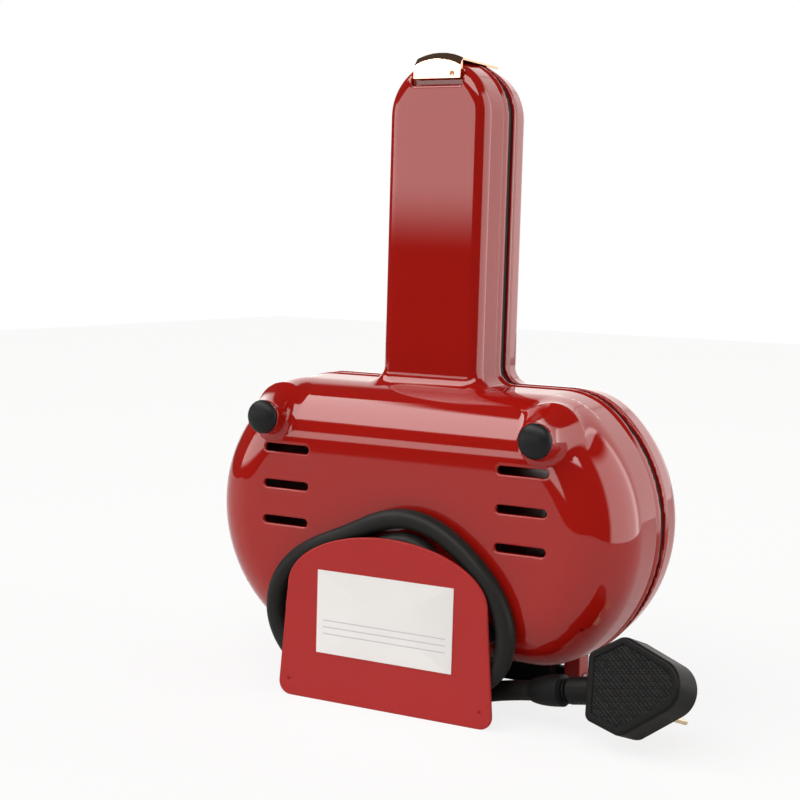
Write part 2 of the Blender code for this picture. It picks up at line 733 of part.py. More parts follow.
def lower_posts():
    """The posts inside the lower shell, as one tool."""
    shapes = []
    for x, height in FOOT_PLACES:
        near = FOOT_FLOOR_DEPTH - FOOT_FLOOR
        shapes.append(rod(FOOT_POST_RADIUS, near, shell_depth(LOWER, x, height, WALL / 2), at(x, 0, height)))
    handle_wall = LOWER_HANDLE_DEPTH - WALL / 2
    for x, height in FRAME_SCREWS:
        shapes.append(rod(SCREW_POST_RADIUS, RIM_DEPTH + CLEARANCE, handle_wall, at(x, 0, height)))
    for x in bracket_places():
        foot = Matrix.Translation((x, -BRACKET_SCREW_DEPTH, 0))
        low = BODY_BOTTOM + LOWER_DRAFT / 2 + WALL / 2
        shapes.append(rod(BRACKET_POST_RADIUS, low, BRACKET_POST_TOP, foot))
    return finish(merge_meshes(shapes), "lower_posts", None)


def slot_shapes():
    """The six vent slots."""
    shapes = []
    for sign, _ in SIDES:
        for row in range(SLOT_COUNT):
            centre = (sign * SLOT_PLACE, SLOT_LOWEST + row * SLOT_PITCH)
            outline = rounded_rectangle(SLOT_LENGTH, SLOT_WIDTH, SLOT_WIDTH / 2 - MERGE, centre)
            shapes.append(prism(outline, LOWER_DEPTH - 2 * WALL, LOWER_DEPTH + OVERRUN))
    return shapes


def make_upper_shell():
    """The lid's case, with its hinge ears, posts, lamp holes and latch notch."""
    shell = finish(body_prism(UPPER, 0, RIM_DEPTH + FACE_GAP), "upper_shell", RED_GLOSS, carrier=LID)
    join(shell, finish(handle_prism(UPPER, 0, RIM_DEPTH + FACE_GAP), "upper_handle", None))
    cut(shell, finish(body_prism(UPPER, WALL, RIM_DEPTH - OVERRUN), "upper_body_inside", None))
    inside = finish(handle_prism(UPPER, WALL, RIM_DEPTH - OVERRUN), "upper_handle_inside", None)
    cheek = LATCH_RECESS_HALF_WIDTH + LATCH_CHEEK
    block_low = (-cheek, LATCH_NOTCH_DEPTH - WALL, LATCH_NOTCH_HEIGHT - WALL)
    block_high = (cheek, 2 * UPPER_HANDLE_DEPTH, 2 * LATCH_NOTCH_HEIGHT)
    cut(inside, finish(box(block_low, block_high), "latch_block", None))
    cut(shell, inside)
    join(shell, *upper_posts())
    join(shell, finish(merge_meshes(ear_shapes()), "hinge_ears", None))
    ear_far = EAR_OUTER + OVERRUN
    ear_bore = rod(BARREL_BORE, -ear_far, ear_far, Matrix.Translation(HINGE_AXIS) @ ALONG_X)
    cut(shell, finish(ear_bore, "ear_bore", None))
    frame_far = RIM_DEPTH + SCREW_THREAD + 2 * OVERRUN
    cut(shell, holes("upper_post_bores", UPPER, FRAME_SCREWS, SCREW_HOLE, 0, frame_far))
    cooking_far = COOKING_RIM_DEPTH + COOKING_DECK + SCREW_THREAD + 2 * OVERRUN
    cut(shell, holes("upper_plate_bores", UPPER, COOKING_PLACES, SCREW_HOLE, 0, cooking_far))
    lamps = [(-LAMP_PLACE, LAMP_HEIGHT), (LAMP_PLACE, LAMP_HEIGHT)]
    cut(shell, holes("lamp_holes", UPPER, lamps, LAMP_RADIUS + CLEARANCE, UPPER_DEPTH / 2, 2 * UPPER_DEPTH))
    notch_low = (-LATCH_RECESS_HALF_WIDTH, LATCH_NOTCH_DEPTH, LATCH_NOTCH_HEIGHT)
    notch_high = (LATCH_RECESS_HALF_WIDTH, 2 * UPPER_HANDLE_DEPTH, 2 * LATCH_NOTCH_HEIGHT)
    cut(shell, finish(box(notch_low, notch_high), "latch_notch", None))
    pin_half = latch_pin_half() + CLEARANCE
    pin_bore = rod(LATCH_PIN_BORE, -pin_half, pin_half, Matrix.Translation(LATCH_AXIS) @ ALONG_X)
    cut(shell, finish(pin_bore, "latch_pin_bore", None))


def latch_pin_half():
    """Half the latch pin's length: it ends inside the cheeks of the notch."""
    return LATCH_RECESS_HALF_WIDTH + LATCH_CHEEK / 2


def upper_posts():
    """The posts inside the lid, as two tools; those in the body end under its skin."""
    handle_wall = UPPER_HANDLE_DEPTH - WALL / 2
    grip = [rod(SCREW_POST_RADIUS, RIM_DEPTH + CLEARANCE, handle_wall, at(x, 0, height, 1)) for x, height in FRAME_SCREWS]
    near = COOKING_RIM_DEPTH + COOKING_DECK + CLEARANCE
    body = [rod(SCREW_POST_RADIUS, near, UPPER_DEPTH, at(x, 0, height, 1)) for x, height in COOKING_PLACES]
    body_posts = finish(merge_meshes(body), "upper_body_posts", None)
    boolean(body_posts, finish(body_prism(UPPER, WALL / 4, 0), "upper_post_skin", None), "INTERSECT")
    return finish(merge_meshes(grip), "upper_grip_posts", None), body_posts


def ear_shapes():
    """The lid's two hinge ears, each with a round foot about the axis."""
    length = EAR_OUTER - EAR_INNER
    outline = arc((HINGE_DEPTH, BARREL_RADIUS), BARREL_RADIUS, 180, 360, ARC_STEPS // 2)
    outline += [(HINGE_DEPTH + BARREL_RADIUS, EAR_TOP), (HINGE_DEPTH - BARREL_RADIUS, EAR_TOP)]
    shapes = []
    for start in (-EAR_OUTER, EAR_INNER):
        data = bmesh.new()
        base = data.faces.new([data.verts.new((start, y, z)) for y, z in outline])
        made = bmesh.ops.extrude_face_region(data, geom=[base])["geom"]
        moved = [item for item in made if isinstance(item, bmesh.types.BMVert)]
        bmesh.ops.translate(data, verts=moved, vec=(length, 0, 0))
        shapes.append(data)
    return shapes


def make_frame(name, half, carrier):
    """The black frame between a shell's rim and the parting plane, closed over the handle."""
    frame = finish(prism(body_outline(FRAME_INSET), PARTING_GAP, RIM_DEPTH, half.side), name, BLACK_PLASTIC, carrier=carrier)
    join(frame, finish(prism(handle_outline(FRAME_INSET), PARTING_GAP, RIM_DEPTH, half.side), name + "_grip", None))
    opening = body_outline(COOKING_INSET)
    cut(frame, finish(prism(opening, -OVERRUN, RIM_DEPTH + OVERRUN, half.side), name + "_opening", None))
    far = RIM_DEPTH + OVERRUN
    seat = RIM_DEPTH - SCREW_SEAT
    sink = SCREW_HEAD_RADIUS + CLEARANCE
    cut(frame, stepped_holes(name + "_holes", half, FRAME_SCREWS, 0, seat, far, sink, SCREW_HOLE))
    head = RIM_DEPTH - SCREW_SEAT - CLEARANCE - FRAME_HEAD
    for number, (x, height) in enumerate(FRAME_SCREWS, start=1):
        screw_name = name.replace("frame", "frame_screw") + f"_{number}"
        screw(screw_name, head, SCREW_THREAD, at(x, 0, height, half.side), carrier, head=FRAME_HEAD)


def make_cooking_plate(name, half, carrier):
    """A cast cooking plate: a deck with two pockets and, on the lower one, bosses down to the case."""
    far = COOKING_RIM_DEPTH + COOKING_DECK
    deck = prism(body_outline(COOKING_INSET + CLEARANCE), COOKING_RIM_DEPTH, far, half.side)
    plate = finish(deck, name, NONSTICK, carrier=carrier)
    pans = []
    pockets = []
    for sign, _ in SIDES:
        centre = (sign * POCKET_PLACE, BODY_HEIGHT)
        grow = 2 * POCKET_FLOOR
        outer = rounded_rectangle(POCKET_WIDTH + grow, POCKET_TALL + grow, POCKET_CORNER + POCKET_FLOOR, centre)
        inner = rounded_rectangle(POCKET_WIDTH, POCKET_TALL, POCKET_CORNER, centre)
        pans.append(prism(outer, far - COOKING_DECK / 2, POCKET_OUTER_DEPTH, half.side))
        pockets.append(prism(inner, -OVERRUN, POCKET_DEPTH, half.side))
    join(plate, finish(merge_meshes(pans), name + "_pans", None))
    if half is LOWER:
        join(plate, finish(merge_meshes(lower_bosses(far)), name + "_bosses", None))
        bore_from = POCKET_OUTER_DEPTH
        cut(plate, holes(name + "_bores", half, COOKING_PLACES, SCREW_HOLE, bore_from, FRONT_DEPTH))
    else:
        sink_far = COOKING_RIM_DEPTH + COOKING_DECK - SCREW_SEAT
        past = far + OVERRUN
        sink = SCREW_HEAD_RADIUS + CLEARANCE
        cut(plate, stepped_holes(name + "_holes", half, COOKING_PLACES, 0, sink_far, past, sink, SCREW_HOLE))
        head_top = sink_far - CLEARANCE - SCREW_HEAD
        names = ("upper_left", "upper_right", "lower_left", "lower_right")
        for place, (x, height) in zip(names, COOKING_PLACES):
            screw(f"lid_plate_screw_{place}", head_top, SCREW_THREAD, at(x, 0, height, 1), carrier)
    cut(plate, finish(merge_meshes(pockets), name + "_pockets", None))


def lower_bosses(deck_far):
    """The lower plate's four bosses, which stand on the shell."""
    shapes = []
    ends = [FOOT_FLOOR_DEPTH - FOOT_FLOOR - CLEARANCE] * len(FOOT_PLACES)
    ends += [wall_seat(x, height) for x, height in POST_PLACES]
    for (x, height), end in zip(COOKING_PLACES, ends):
        shapes.append(rod(COOKING_BOSS_RADIUS, deck_far - COOKING_DECK / 2, end, at(x, 0, height)))
    return shapes


def wall_seat(x, height):
    """Depth at which a boss's end clears the lower shell's inner face at its lowest corner."""
    return shell_depth(LOWER, x, height - COOKING_BOSS_RADIUS, WALL) - CLEARANCE


def heater_points(half):
    """Centre line of a heating element: a loop under both pockets, whose ends turn away from the plate."""
    right = arc((POCKET_PLACE, BODY_HEIGHT), HEATER_LOOP_RADIUS, -90, 90, ARC_STEPS // 2)
    left = arc((-POCKET_PLACE, BODY_HEIGHT), HEATER_LOOP_RADIUS, 90, 270, ARC_STEPS // 2)
    level = [Vector((x, half.side * HEATER_DEPTH, z)) for x, z in right + left]
    low = BODY_HEIGHT - HEATER_LOOP_RADIUS
    bends = []
    for sign in (1, -1):
        bend = arc((sign * (HEATER_END_PLACE + HEATER_BEND), HEATER_DEPTH + HEATER_BEND), HEATER_BEND, 180, 270, CORNER_STEPS)
        middle = sign * (HEATER_END_PLACE + HEATER_BEND)
        points = [Vector((middle + sign * (x - middle), half.side * depth, low)) for x, depth in bend]
        bends.append([Vector((sign * HEATER_END_PLACE, half.side * HEATER_END_DEPTH, low))] + points)
    return bends[0] + level + bends[1][::-1]


def make_reflector(name, half, carrier):
    """The sheet behind the heater, with holes for what passes through it."""
    far = REFLECTOR_DEPTH + REFLECTOR_THICKNESS
    sheet = prism(body_outline(REFLECTOR_INSET), REFLECTOR_DEPTH, far, half.side)
    reflector = finish(sheet, name, REFLECTOR_METAL, carrier=carrier)
    near = REFLECTOR_DEPTH - OVERRUN
    past = far + OVERRUN
    boss_hole = COOKING_BOSS_RADIUS + REFLECTOR_HOLE_MARGIN
    cut(reflector, holes(name + "_boss_holes", half, COOKING_PLACES, boss_hole, near, past))
    bend_place = HEATER_END_PLACE + HEATER_BEND / 4
    ends = [(sign * bend_place, BODY_HEIGHT - HEATER_LOOP_RADIUS) for sign in (-1, 1)]
    heater_hole = HEATER_RADIUS + HEATER_BEND / 2
    cut(reflector, holes(name + "_heater_holes", half, ends, heater_hole, near, past))
    if half is LOWER:
        window = [(THERMOSTAT_PLACE, BODY_HEIGHT)]
        radius = THERMOSTAT_RADIUS + REFLECTOR_HOLE_MARGIN
        cut(reflector, holes(name + "_window", half, window, radius, near, past))


def make_inner_parts():
    """Thermostat, fuse, terminal block, clamp and leads."""
    start = POCKET_OUTER_DEPTH + CLEARANCE
    profile = [
        (0, start),
        (THERMOSTAT_RADIUS, start),
        (THERMOSTAT_RADIUS, start + THERMOSTAT_THICKNESS),
        (THERMOSTAT_BASE_RADIUS, start + THERMOSTAT_THICKNESS),
        (THERMOSTAT_BASE_RADIUS, start + THERMOSTAT_THICKNESS + THERMOSTAT_BASE),
        (0, start + THERMOSTAT_THICKNESS + THERMOSTAT_BASE),
    ]
    finish(turned(profile, at(THERMOSTAT_PLACE, 0, BODY_HEIGHT)), "thermostat", BLACK_PLASTIC)
    fuse_depth = REFLECTOR_DEPTH + REFLECTOR_THICKNESS + CLEARANCE + FUSE_RADIUS
    fuse = Matrix.Translation((0, -fuse_depth, FUSE_HEIGHT)) @ ALONG_X
    finish(rod(FUSE_RADIUS, -FUSE_HALF_LENGTH, FUSE_HALF_LENGTH, fuse, HOLE_SIDES), "thermal_fuse", CREAM_NYLON)
    floor = LOWER_DEPTH - WALL - CLEARANCE
    block_low, block_high = box_corners(TERMINAL_SIZE, TERMINAL_PLACE, floor, TERMINAL_HEIGHT)
    finish(box(block_low, block_high), "terminal_block", CREAM_NYLON)
    clamp_corner = (STEM_PLACE[0] + CLAMP_SIZE[0] / 2, STEM_PLACE[1] - CLAMP_SIZE[2] / 2)
    clamp_far = shell_depth(LOWER, *clamp_corner, WALL) - CLEARANCE
    clamp_low, clamp_high = box_corners(CLAMP_SIZE, STEM_PLACE[0], clamp_far, STEM_PLACE[1])
    clamp = finish(box(clamp_low, clamp_high), "cord_clamp", BLACK_PLASTIC)
    cut(clamp, holes("clamp_hole", LOWER, [STEM_PLACE], GLAND_STEM_RADIUS + CLEARANCE, 0, FRONT_DEPTH))
    for sign, name in ((-1, "live_lead"), (1, "neutral_lead")):
        x = STEM_PLACE[0] + sign * WIRE_SPACING / 2
        start = Vector((x, -GLAND_STEM_DEPTH + CLEARANCE, STEM_PLACE[1]))
        end_x = TERMINAL_PLACE + sign * TERMINAL_SIZE[0] / 4
        end = Vector((end_x, block_high[1] - TERMINAL_SIZE[1] / 2, block_low[2] - CLEARANCE))
        rise = Vector((0, WIRE_BEND, 0))
        dip = Vector((0, 0, -WIRE_BEND))
        route = smooth_route((start, start + rise, end + dip, end), WIRE_RADIUS * 3)
        tube(name, route, WIRE_RADIUS, WIRE_COVER, 2)


def box_corners(size, x, far_depth, height):
    """Corners of a box in the lower half that ends at far_depth and is centred at x and height."""
    low = (x - size[0] / 2, -far_depth, height - size[2] / 2)
    high = (x + size[0] / 2, -far_depth + size[1], height + size[2] / 2)
    return low, high


def make_feet():
    """The two rubber feet and the screws under them."""
    cap_top = FOOT_BOSS_DEPTH + CLEARANCE
    dome = FRONT_DEPTH - cap_top - FOOT_CAP_SIDE
    profile = [(0, cap_top - FOOT_STEM), (FOOT_STEM_RADIUS, cap_top - FOOT_STEM), (FOOT_STEM_RADIUS, cap_top)]
    profile += [(FOOT_RADIUS, cap_top)]
    for step in range(DOME_STEPS + 1):
        turn = math.radians(90 * step / DOME_STEPS)
        point = (FOOT_RADIUS * math.cos(turn), cap_top + FOOT_CAP_SIDE + dome * math.sin(turn))
        profile.append(point if step < DOME_STEPS else (0, point[1]))
    head_top = FOOT_FLOOR_DEPTH + CLEARANCE + SCREW_HEAD
    for (x, height), (_, word) in zip(FOOT_PLACES, SIDES):
        finish(turned(profile, at(x, 0, height)), f"rubber_foot_{word}", BLACK_RUBBER)
        inward = at(x, head_top, height) @ Matrix.Rotation(math.pi, 4, "X")
        screw(f"foot_screw_{word}", 0, FOOT_FLOOR + CLEARANCE + SCREW_THREAD, inward)


def plate_outline():
    """Outline of the cord wrap plate: a straight foot with round corners, and an arch on top."""
    lean = math.degrees(math.atan2(PLATE_FOOT_HALF_WIDTH - PLATE_HALF_WIDTH, PLATE_SHOULDER))
    corner_x = PLATE_FOOT_HALF_WIDTH - PLATE_CORNER * math.tan(math.radians(45 + lean / 2))
    right = arc((corner_x, PLATE_CORNER), PLATE_CORNER, -90, lean, CORNER_STEPS)
    arch = []
    for step in range(2 * ARC_STEPS + 1):
        turn = math.pi * step / (2 * ARC_STEPS)
        arch.append((PLATE_HALF_WIDTH * math.cos(turn), PLATE_SHOULDER + PLATE_ARCH * math.sin(turn)))
    left = [(-x, z) for x, z in reversed(right)]
    return right + arch + left


def make_cord_wrap():
    """The post on the lower shell, the plate on it, their screws and the label."""
    outline = []
    for step in range(2 * ARC_STEPS):
        turn = math.pi * step / ARC_STEPS
        outline.append((POST_HALF_WIDTH * math.cos(turn), POST_HEIGHT + POST_HALF_HEIGHT * math.sin(turn)))
    post_far = PLATE_INNER_DEPTH - FACE_GAP
    post = finish(prism(outline, LOWER_DEPTH / 2, post_far), "cord_wrap_post", RED_SATIN)
    cut(post, finish(body_prism(LOWER, -CLEARANCE, 0), "post_seat", None))
    cut(post, holes("post_holes", LOWER, POST_PLACES, SCREW_HOLE, 0, FRONT_DEPTH))
    plate = finish(prism(plate_outline(), PLATE_INNER_DEPTH, PLATE_FACE_DEPTH), "cord_wrap_plate", RED_SATIN)
    seat = PLATE_FACE_DEPTH - PLATE_SINK
    sink = SCREW_HEAD_RADIUS + CLEARANCE
    near = PLATE_INNER_DEPTH - OVERRUN
    cut(plate, stepped_holes("plate_holes", LOWER, POST_PLACES, near, seat, FRONT_DEPTH, SCREW_HOLE, sink))
    head = PLATE_SINK - FACE_GAP - FACE_GAP
    for (x, height), (_, word) in zip(POST_PLACES, SIDES):
        inward = at(x, PLATE_FACE_DEPTH - FACE_GAP, height) @ Matrix.Rotation(math.pi, 4, "X")
        length = seat - wall_seat(x, height) + SCREW_THREAD
        screw(f"wrap_plate_screw_{word}", 0, length, inward, head=head)
    label = rounded_rectangle(LABEL_WIDTH, LABEL_TALL, LABEL_CORNER, (0, LABEL_HEIGHT))
    near = PLATE_FACE_DEPTH + FACE_GAP
    finish(prism(label, near, near + LABEL_THICKNESS), "rating_label", WHITE_PAPER)


def make_gland():
    """The moulded elbow that leads the cord out of the lower shell and along its face."""
    angle = math.atan2(GLAND_DIRECTION.z, GLAND_DIRECTION.x)
    half = GLAND_WIDTH / 2
    near = LOWER_DEPTH / 2
    outline = rounded_rectangle(GLAND_LENGTH, GLAND_WIDTH, half / 3, (GLAND_LENGTH / 2, 0))
    placed = []
    for along, across in outline:
        x = GLAND_FACE.x + along * math.cos(angle) - across * math.sin(angle)
        placed.append((x, GLAND_FACE.z + along * math.sin(angle) + across * math.cos(angle)))
    gland = finish(prism(placed, near, PLATE_INNER_DEPTH - CLEARANCE), "cord_gland", BLACK_RUBBER)
    cut(gland, finish(body_prism(LOWER, -CLEARANCE, 0), "gland_seat", None))
    stem = rod(GLAND_STEM_RADIUS, GLAND_STEM_DEPTH, CORD_DEPTH, at(STEM_PLACE[0], 0, STEM_PLACE[1]))
    join(gland, finish(stem, "gland_stem", None))


def make_hinge():
    """The bracket with its barrel, fixed under the lower shell, and what runs in the barrel."""
    centre = Matrix.Translation(HINGE_AXIS) @ ALONG_X
    barrel = rod(BARREL_RADIUS, -BARREL_HALF_LENGTH, BARREL_HALF_LENGTH, centre)
    bracket = finish(barrel, "hinge_bracket", BLACK_PLASTIC)
    arms = []
    for start in (-ARM_OUTER, ARM_INNER):
        low = (start, -ARM_END_DEPTH, ARM_TOP - ARM_THICKNESS)
        high = (start + ARM_OUTER - ARM_INNER, HINGE_DEPTH, ARM_TOP)
        arms.append(box(low, high))
    join(bracket, finish(merge_meshes(arms), "bracket_arms", None))
    webs = []
    for start in (-ARM_OUTER, ARM_INNER):
        low = (start, HINGE_DEPTH - 2 * BARREL_RADIUS, BARREL_RADIUS)
        webs.append(box(low, (start + ARM_OUTER - ARM_INNER, HINGE_DEPTH, ARM_TOP - ARM_THICKNESS / 2)))
    join(bracket, finish(merge_meshes(webs), "bracket_webs", None))
    bore_half = BARREL_HALF_LENGTH + OVERRUN
    cut(bracket, finish(rod(BARREL_BORE, -bore_half, bore_half, centre), "barrel_bore", None))
    screw_bores = []
    for x, (_, word) in zip(bracket_places(), SIDES):
        foot = Matrix.Translation((x, -BRACKET_SCREW_DEPTH, 0))
        screw_bores.append(rod(SCREW_HOLE, 0, 2 * ARM_TOP, foot, HOLE_SIDES))
        head_top = ARM_TOP - ARM_THICKNESS - FACE_GAP - SCREW_HEAD
        screw(f"bracket_screw_{word}", head_top, SCREW_THREAD, foot)
    cut(bracket, finish(merge_meshes(screw_bores), "bracket_holes", None))
    for sign, word in SIDES:
        ends = sorted((sign * HINGE_PIN_INNER, sign * (EAR_OUTER + CLEARANCE)))
        finish(rod(HINGE_PIN_RADIUS, ends[0], ends[1], centre), f"hinge_pin_{word}", BRIGHT_STEEL)
    sleeve = pipe(HINGE_PIN_RADIUS, SLEEVE_BORE, -SLEEVE_HALF_LENGTH, SLEEVE_HALF_LENGTH, centre)
    finish(sleeve, "lead_sleeve", CREAM_NYLON)


def make_lamps():
    """Two lenses in the lid and the block that carries their lamps."""
    flange_far = UPPER_DEPTH - WALL - CLEARANCE
    flange_near = flange_far - LAMP_FLANGE
    top = UPPER_DEPTH - LAMP_SINK
    for sign, name, material in ((-1, "power_lens", LENS_RED), (1, "ready_lens", LENS_GREEN)):
        profile = [(0, flange_near), (LAMP_FLANGE_RADIUS, flange_near), (LAMP_FLANGE_RADIUS, flange_far)]
        profile += [(LAMP_RADIUS, flange_far)]
        for step in range(LENS_STEPS + 1):
            turn = math.radians(90 * step / LENS_STEPS)
            point = (LAMP_RADIUS * math.cos(turn), top - LAMP_DOME + LAMP_DOME * math.sin(turn))
            profile.append(point if step < LENS_STEPS else (0, point[1]))
        finish(turned(profile, at(sign * LAMP_PLACE, 0, LAMP_HEIGHT, 1), HOLE_SIDES), name, material, carrier=LID)
    far = flange_near - CLEARANCE
    half_size = [size / 2 for size in LAMP_HOLDER_SIZE]
    low = (-half_size[0], far - LAMP_HOLDER_SIZE[1], LAMP_HEIGHT - half_size[2])
    high = (half_size[0], far, LAMP_HEIGHT + half_size[2])
    finish(box(low, high), "lamp_holder", CREAM_NYLON, carrier=LID)


def make_latch():
    """The polished clip over the handle's tip, its knuckle and its pin."""
    inner = HANDLE_HALF_WIDTH + LATCH_STRIP_GAP
    outer = inner + LATCH_STRIP
    reach = math.degrees(math.asin(LATCH_HALF_WIDTH / outer))
    inner_reach = math.degrees(math.asin(LATCH_HALF_WIDTH / inner))
    centre = (0, HANDLE_TIP_HEIGHT)
    top = arc(centre, outer, 90 - reach, 90 + reach, ARC_STEPS // 2)
    under = arc(centre, inner, 90 + inner_reach, 90 - inner_reach, ARC_STEPS // 2)
    back = LATCH_AXIS_DEPTH + LATCH_KNUCKLE_RADIUS
    clip = finish(prism(top + under, -back, LOWER_HANDLE_DEPTH), "latch_clip", ROSE_GOLD, carrier=LATCH)
    leg_outline = top + [(-LATCH_HALF_WIDTH, LATCH_LEG_HEIGHT), (LATCH_HALF_WIDTH, LATCH_LEG_HEIGHT)]
    leg = prism(leg_outline, LOWER_HANDLE_DEPTH - LATCH_LEG, LOWER_HANDLE_DEPTH)
    join(clip, finish(leg, "latch_leg", None))
    axis = Matrix.Translation(LATCH_AXIS) @ ALONG_X
    join(clip, finish(rod(LATCH_KNUCKLE_RADIUS, -LATCH_HALF_WIDTH, LATCH_HALF_WIDTH, axis), "latch_knuckle", None))
    web_low = (-LATCH_WEB_HALF, LATCH_AXIS_DEPTH - LATCH_KNUCKLE_RADIUS / 2, LATCH_AXIS_HEIGHT)
    web_top = HANDLE_TIP_HEIGHT + inner * LATCH_WEB_SHARE
    web_high = (LATCH_WEB_HALF, LATCH_AXIS_DEPTH + LATCH_KNUCKLE_RADIUS, web_top)
    join(clip, finish(box(web_low, web_high), "latch_web", None))
    bore_half = LATCH_HALF_WIDTH + OVERRUN
    cut(clip, finish(rod(LATCH_PIN_BORE, -bore_half, bore_half, axis), "latch_bore", None))
    pin_half = latch_pin_half()
    finish(rod(LATCH_PIN_RADIUS, -pin_half, pin_half, axis, HOLE_SIDES), "latch_pin", BRIGHT_STEEL, carrier=LID)


def plug_matrix():
    """The plug's frame in the parting plane's frame."""
    turn = Euler([math.radians(angle) for angle in PLUG_TURN])
    return Matrix.Translation(PLUG_ORIGIN) @ turn.to_matrix().to_4x4()


def plug_outline(inset=0.0):
    """The plug's outline, seen from its back: a cord side, two shoulders and a round tip."""
    tip_centre = PLUG_LENGTH - PLUG_TIP_RADIUS
    away = math.hypot(tip_centre - PLUG_SHOULDER, PLUG_SHOULDER_HALF)
    slope = math.atan2(PLUG_SHOULDER_HALF, tip_centre - PLUG_SHOULDER)
    tangent = math.degrees(math.pi - slope - math.acos(PLUG_TIP_RADIUS / away))
    tip = arc((tip_centre, 0), PLUG_TIP_RADIUS - inset, -tangent, tangent, ARC_STEPS // 2)
    shoulder = (PLUG_SHOULDER, PLUG_SHOULDER_HALF - inset)
    end = (inset, PLUG_END_HALF - inset)
    right = [shoulder, end]
    left = [(x, -z) for x, z in reversed(right)]
    return tip + right + left


def make_plug():
    """The moulded plug with its pins, its strain relief and the cord."""
    place = plug_matrix()
    chamfered = prism(plug_outline(PLUG_EDGE), 0, -PLUG_EDGE, far_outline=plug_outline())
    body = finish(prism(plug_outline(), -PLUG_EDGE, -PLUG_THICKNESS), "plug_body", BLACK_RUBBER, PLUG_ORIGIN)
    body.rotation_euler = [math.radians(angle) for angle in PLUG_TURN]
    back = finish(chamfered, "plug_back", None, PLUG_ORIGIN)
    back.rotation_euler = body.rotation_euler
    join(body, back)
    pins = (
        ("plug_pin_earth", PIN_EARTH_ROW, 0, 0),
        ("plug_pin_left", PIN_ROW, -PIN_SPREAD, PIN_SLANT),
        ("plug_pin_right", PIN_ROW, PIN_SPREAD, -PIN_SLANT),
    )
    for name, along, across, slant in pins:
        local = Matrix.Translation((along, 0, across)) @ Matrix.Rotation(math.radians(slant), 4, "Y")
        hole = slot_tool(PIN_WIDTH + 2 * CLEARANCE, PIN_THICKNESS + 2 * CLEARANCE, OVERRUN)
        bmesh.ops.transform(hole, matrix=local, verts=hole.verts)
        slot = finish(hole, name + "_slot", None, PLUG_ORIGIN)
        slot.rotation_euler = body.rotation_euler
        cut(body, slot)
        blade = slot_tool(PIN_WIDTH, PIN_THICKNESS, PIN_LENGTH)
        bmesh.ops.transform(blade, matrix=local, verts=blade.verts)
        pin = finish(blade, name, PIN_BRASS, PLUG_ORIGIN)
        pin.rotation_euler = body.rotation_euler
    entry = Vector((-CLEARANCE, PLUG_THICKNESS / 2, -PLUG_ENTRY_DROP))
    away = Matrix.Rotation(math.radians(-90), 4, "Y")
    profile = relief_profile()
    relief = finish(turned(profile, Matrix.Translation(entry) @ away), "plug_strain_relief", BLACK_RUBBER, PLUG_ORIGIN)
    relief.rotation_euler = body.rotation_euler
    length = profile[-1][1] + CLEARANCE
    end = place @ (entry + Vector((-length, 0, 0)))
    direction = (place.to_3x3() @ Vector((-1, 0, 0))).normalized()
    straight = 2 * CORD_RADIUS
    onward = (WINDING[-1] - WINDING[-2]).normalized()
    winding_end = WINDING[-1] + CLEARANCE * onward
    lead_in = winding_end + LEAD_STRAIGHT * onward
    route = (winding_end, lead_in, *LEAD_ROUTE, end + straight * direction, end)
    tube("cord_lead", smooth_route(route, LEAD_SPACING), CORD_RADIUS, BLACK_CORD, 3)


def relief_profile():
    """The strain relief from the plug outwards: a neck, a groove, and a collar that tapers to the cord."""
    groove = RELIEF_NECK + RELIEF_GROOVE
    length = groove + RELIEF_COLLAR
    taper = length - RELIEF_COLLAR / 3
    return [
        (0, 0),
        (RELIEF_NECK_RADIUS, 0),
        (RELIEF_NECK_RADIUS, RELIEF_NECK),
        (RELIEF_END_RADIUS, RELIEF_NECK),
        (RELIEF_END_RADIUS, groove),
        (RELIEF_COLLAR_RADIUS, groove),
        (RELIEF_COLLAR_RADIUS, taper),
        (RELIEF_END_RADIUS, length),
        (0, length),
    ]


def slot_tool(width, thickness, past):
    """A flat pin or its slot, standing in the plug's far face and reaching past it."""
    half_width = width / 2
    half_thickness = thickness / 2
    low = (-half_width, PLUG_THICKNESS - PIN_ROOT - (width - PIN_WIDTH), -half_thickness)
    high = (half_width, PLUG_THICKNESS + past, half_thickness)
    return box(low, high)


def main():
    """Build every piece."""
    make_lower_shell()
    make_upper_shell()
    make_frame("lower_frame", LOWER, ROOT)
    make_frame("upper_frame", UPPER, LID)
    make_cooking_plate("lower_cooking_plate", LOWER, ROOT)
    make_cooking_plate("upper_cooking_plate", UPPER, LID)
    tube("lower_heating_element", heater_points(LOWER), HEATER_RADIUS, HEATER_STEEL, 2)
    tube("upper_heating_element", heater_points(UPPER), HEATER_RADIUS, HEATER_STEEL, 2, LID)
    make_reflector("lower_reflector", LOWER, ROOT)
    make_reflector("upper_reflector", UPPER, LID)
    make_inner_parts()
    make_feet()
    make_cord_wrap()
    make_gland()
    make_hinge()
    make_lamps()
    make_latch()
    tube("cord_winding", WINDING, CORD_RADIUS, BLACK_CORD, 1)
    print(f"least gap of the winding to itself: {least_gap(WINDING, CORD_RADIUS) * 1000:.2f} mm")
    make_plug()


main()
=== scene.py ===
"""The looks of a mini sandwich maker that stands on its hinge end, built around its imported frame.

Metres, +Z up along the handle. Depths are measured from the parting plane between the two halves: towards -Y in
the lower half, which faces the camera, and towards +Y in the lid.
"""

import json
import logging
import math
from dataclasses import dataclass
from enum import Enum
from typing import Callable, Sequence

import bpy
import numpy as np
from mathutils import Euler, Matrix, Vector

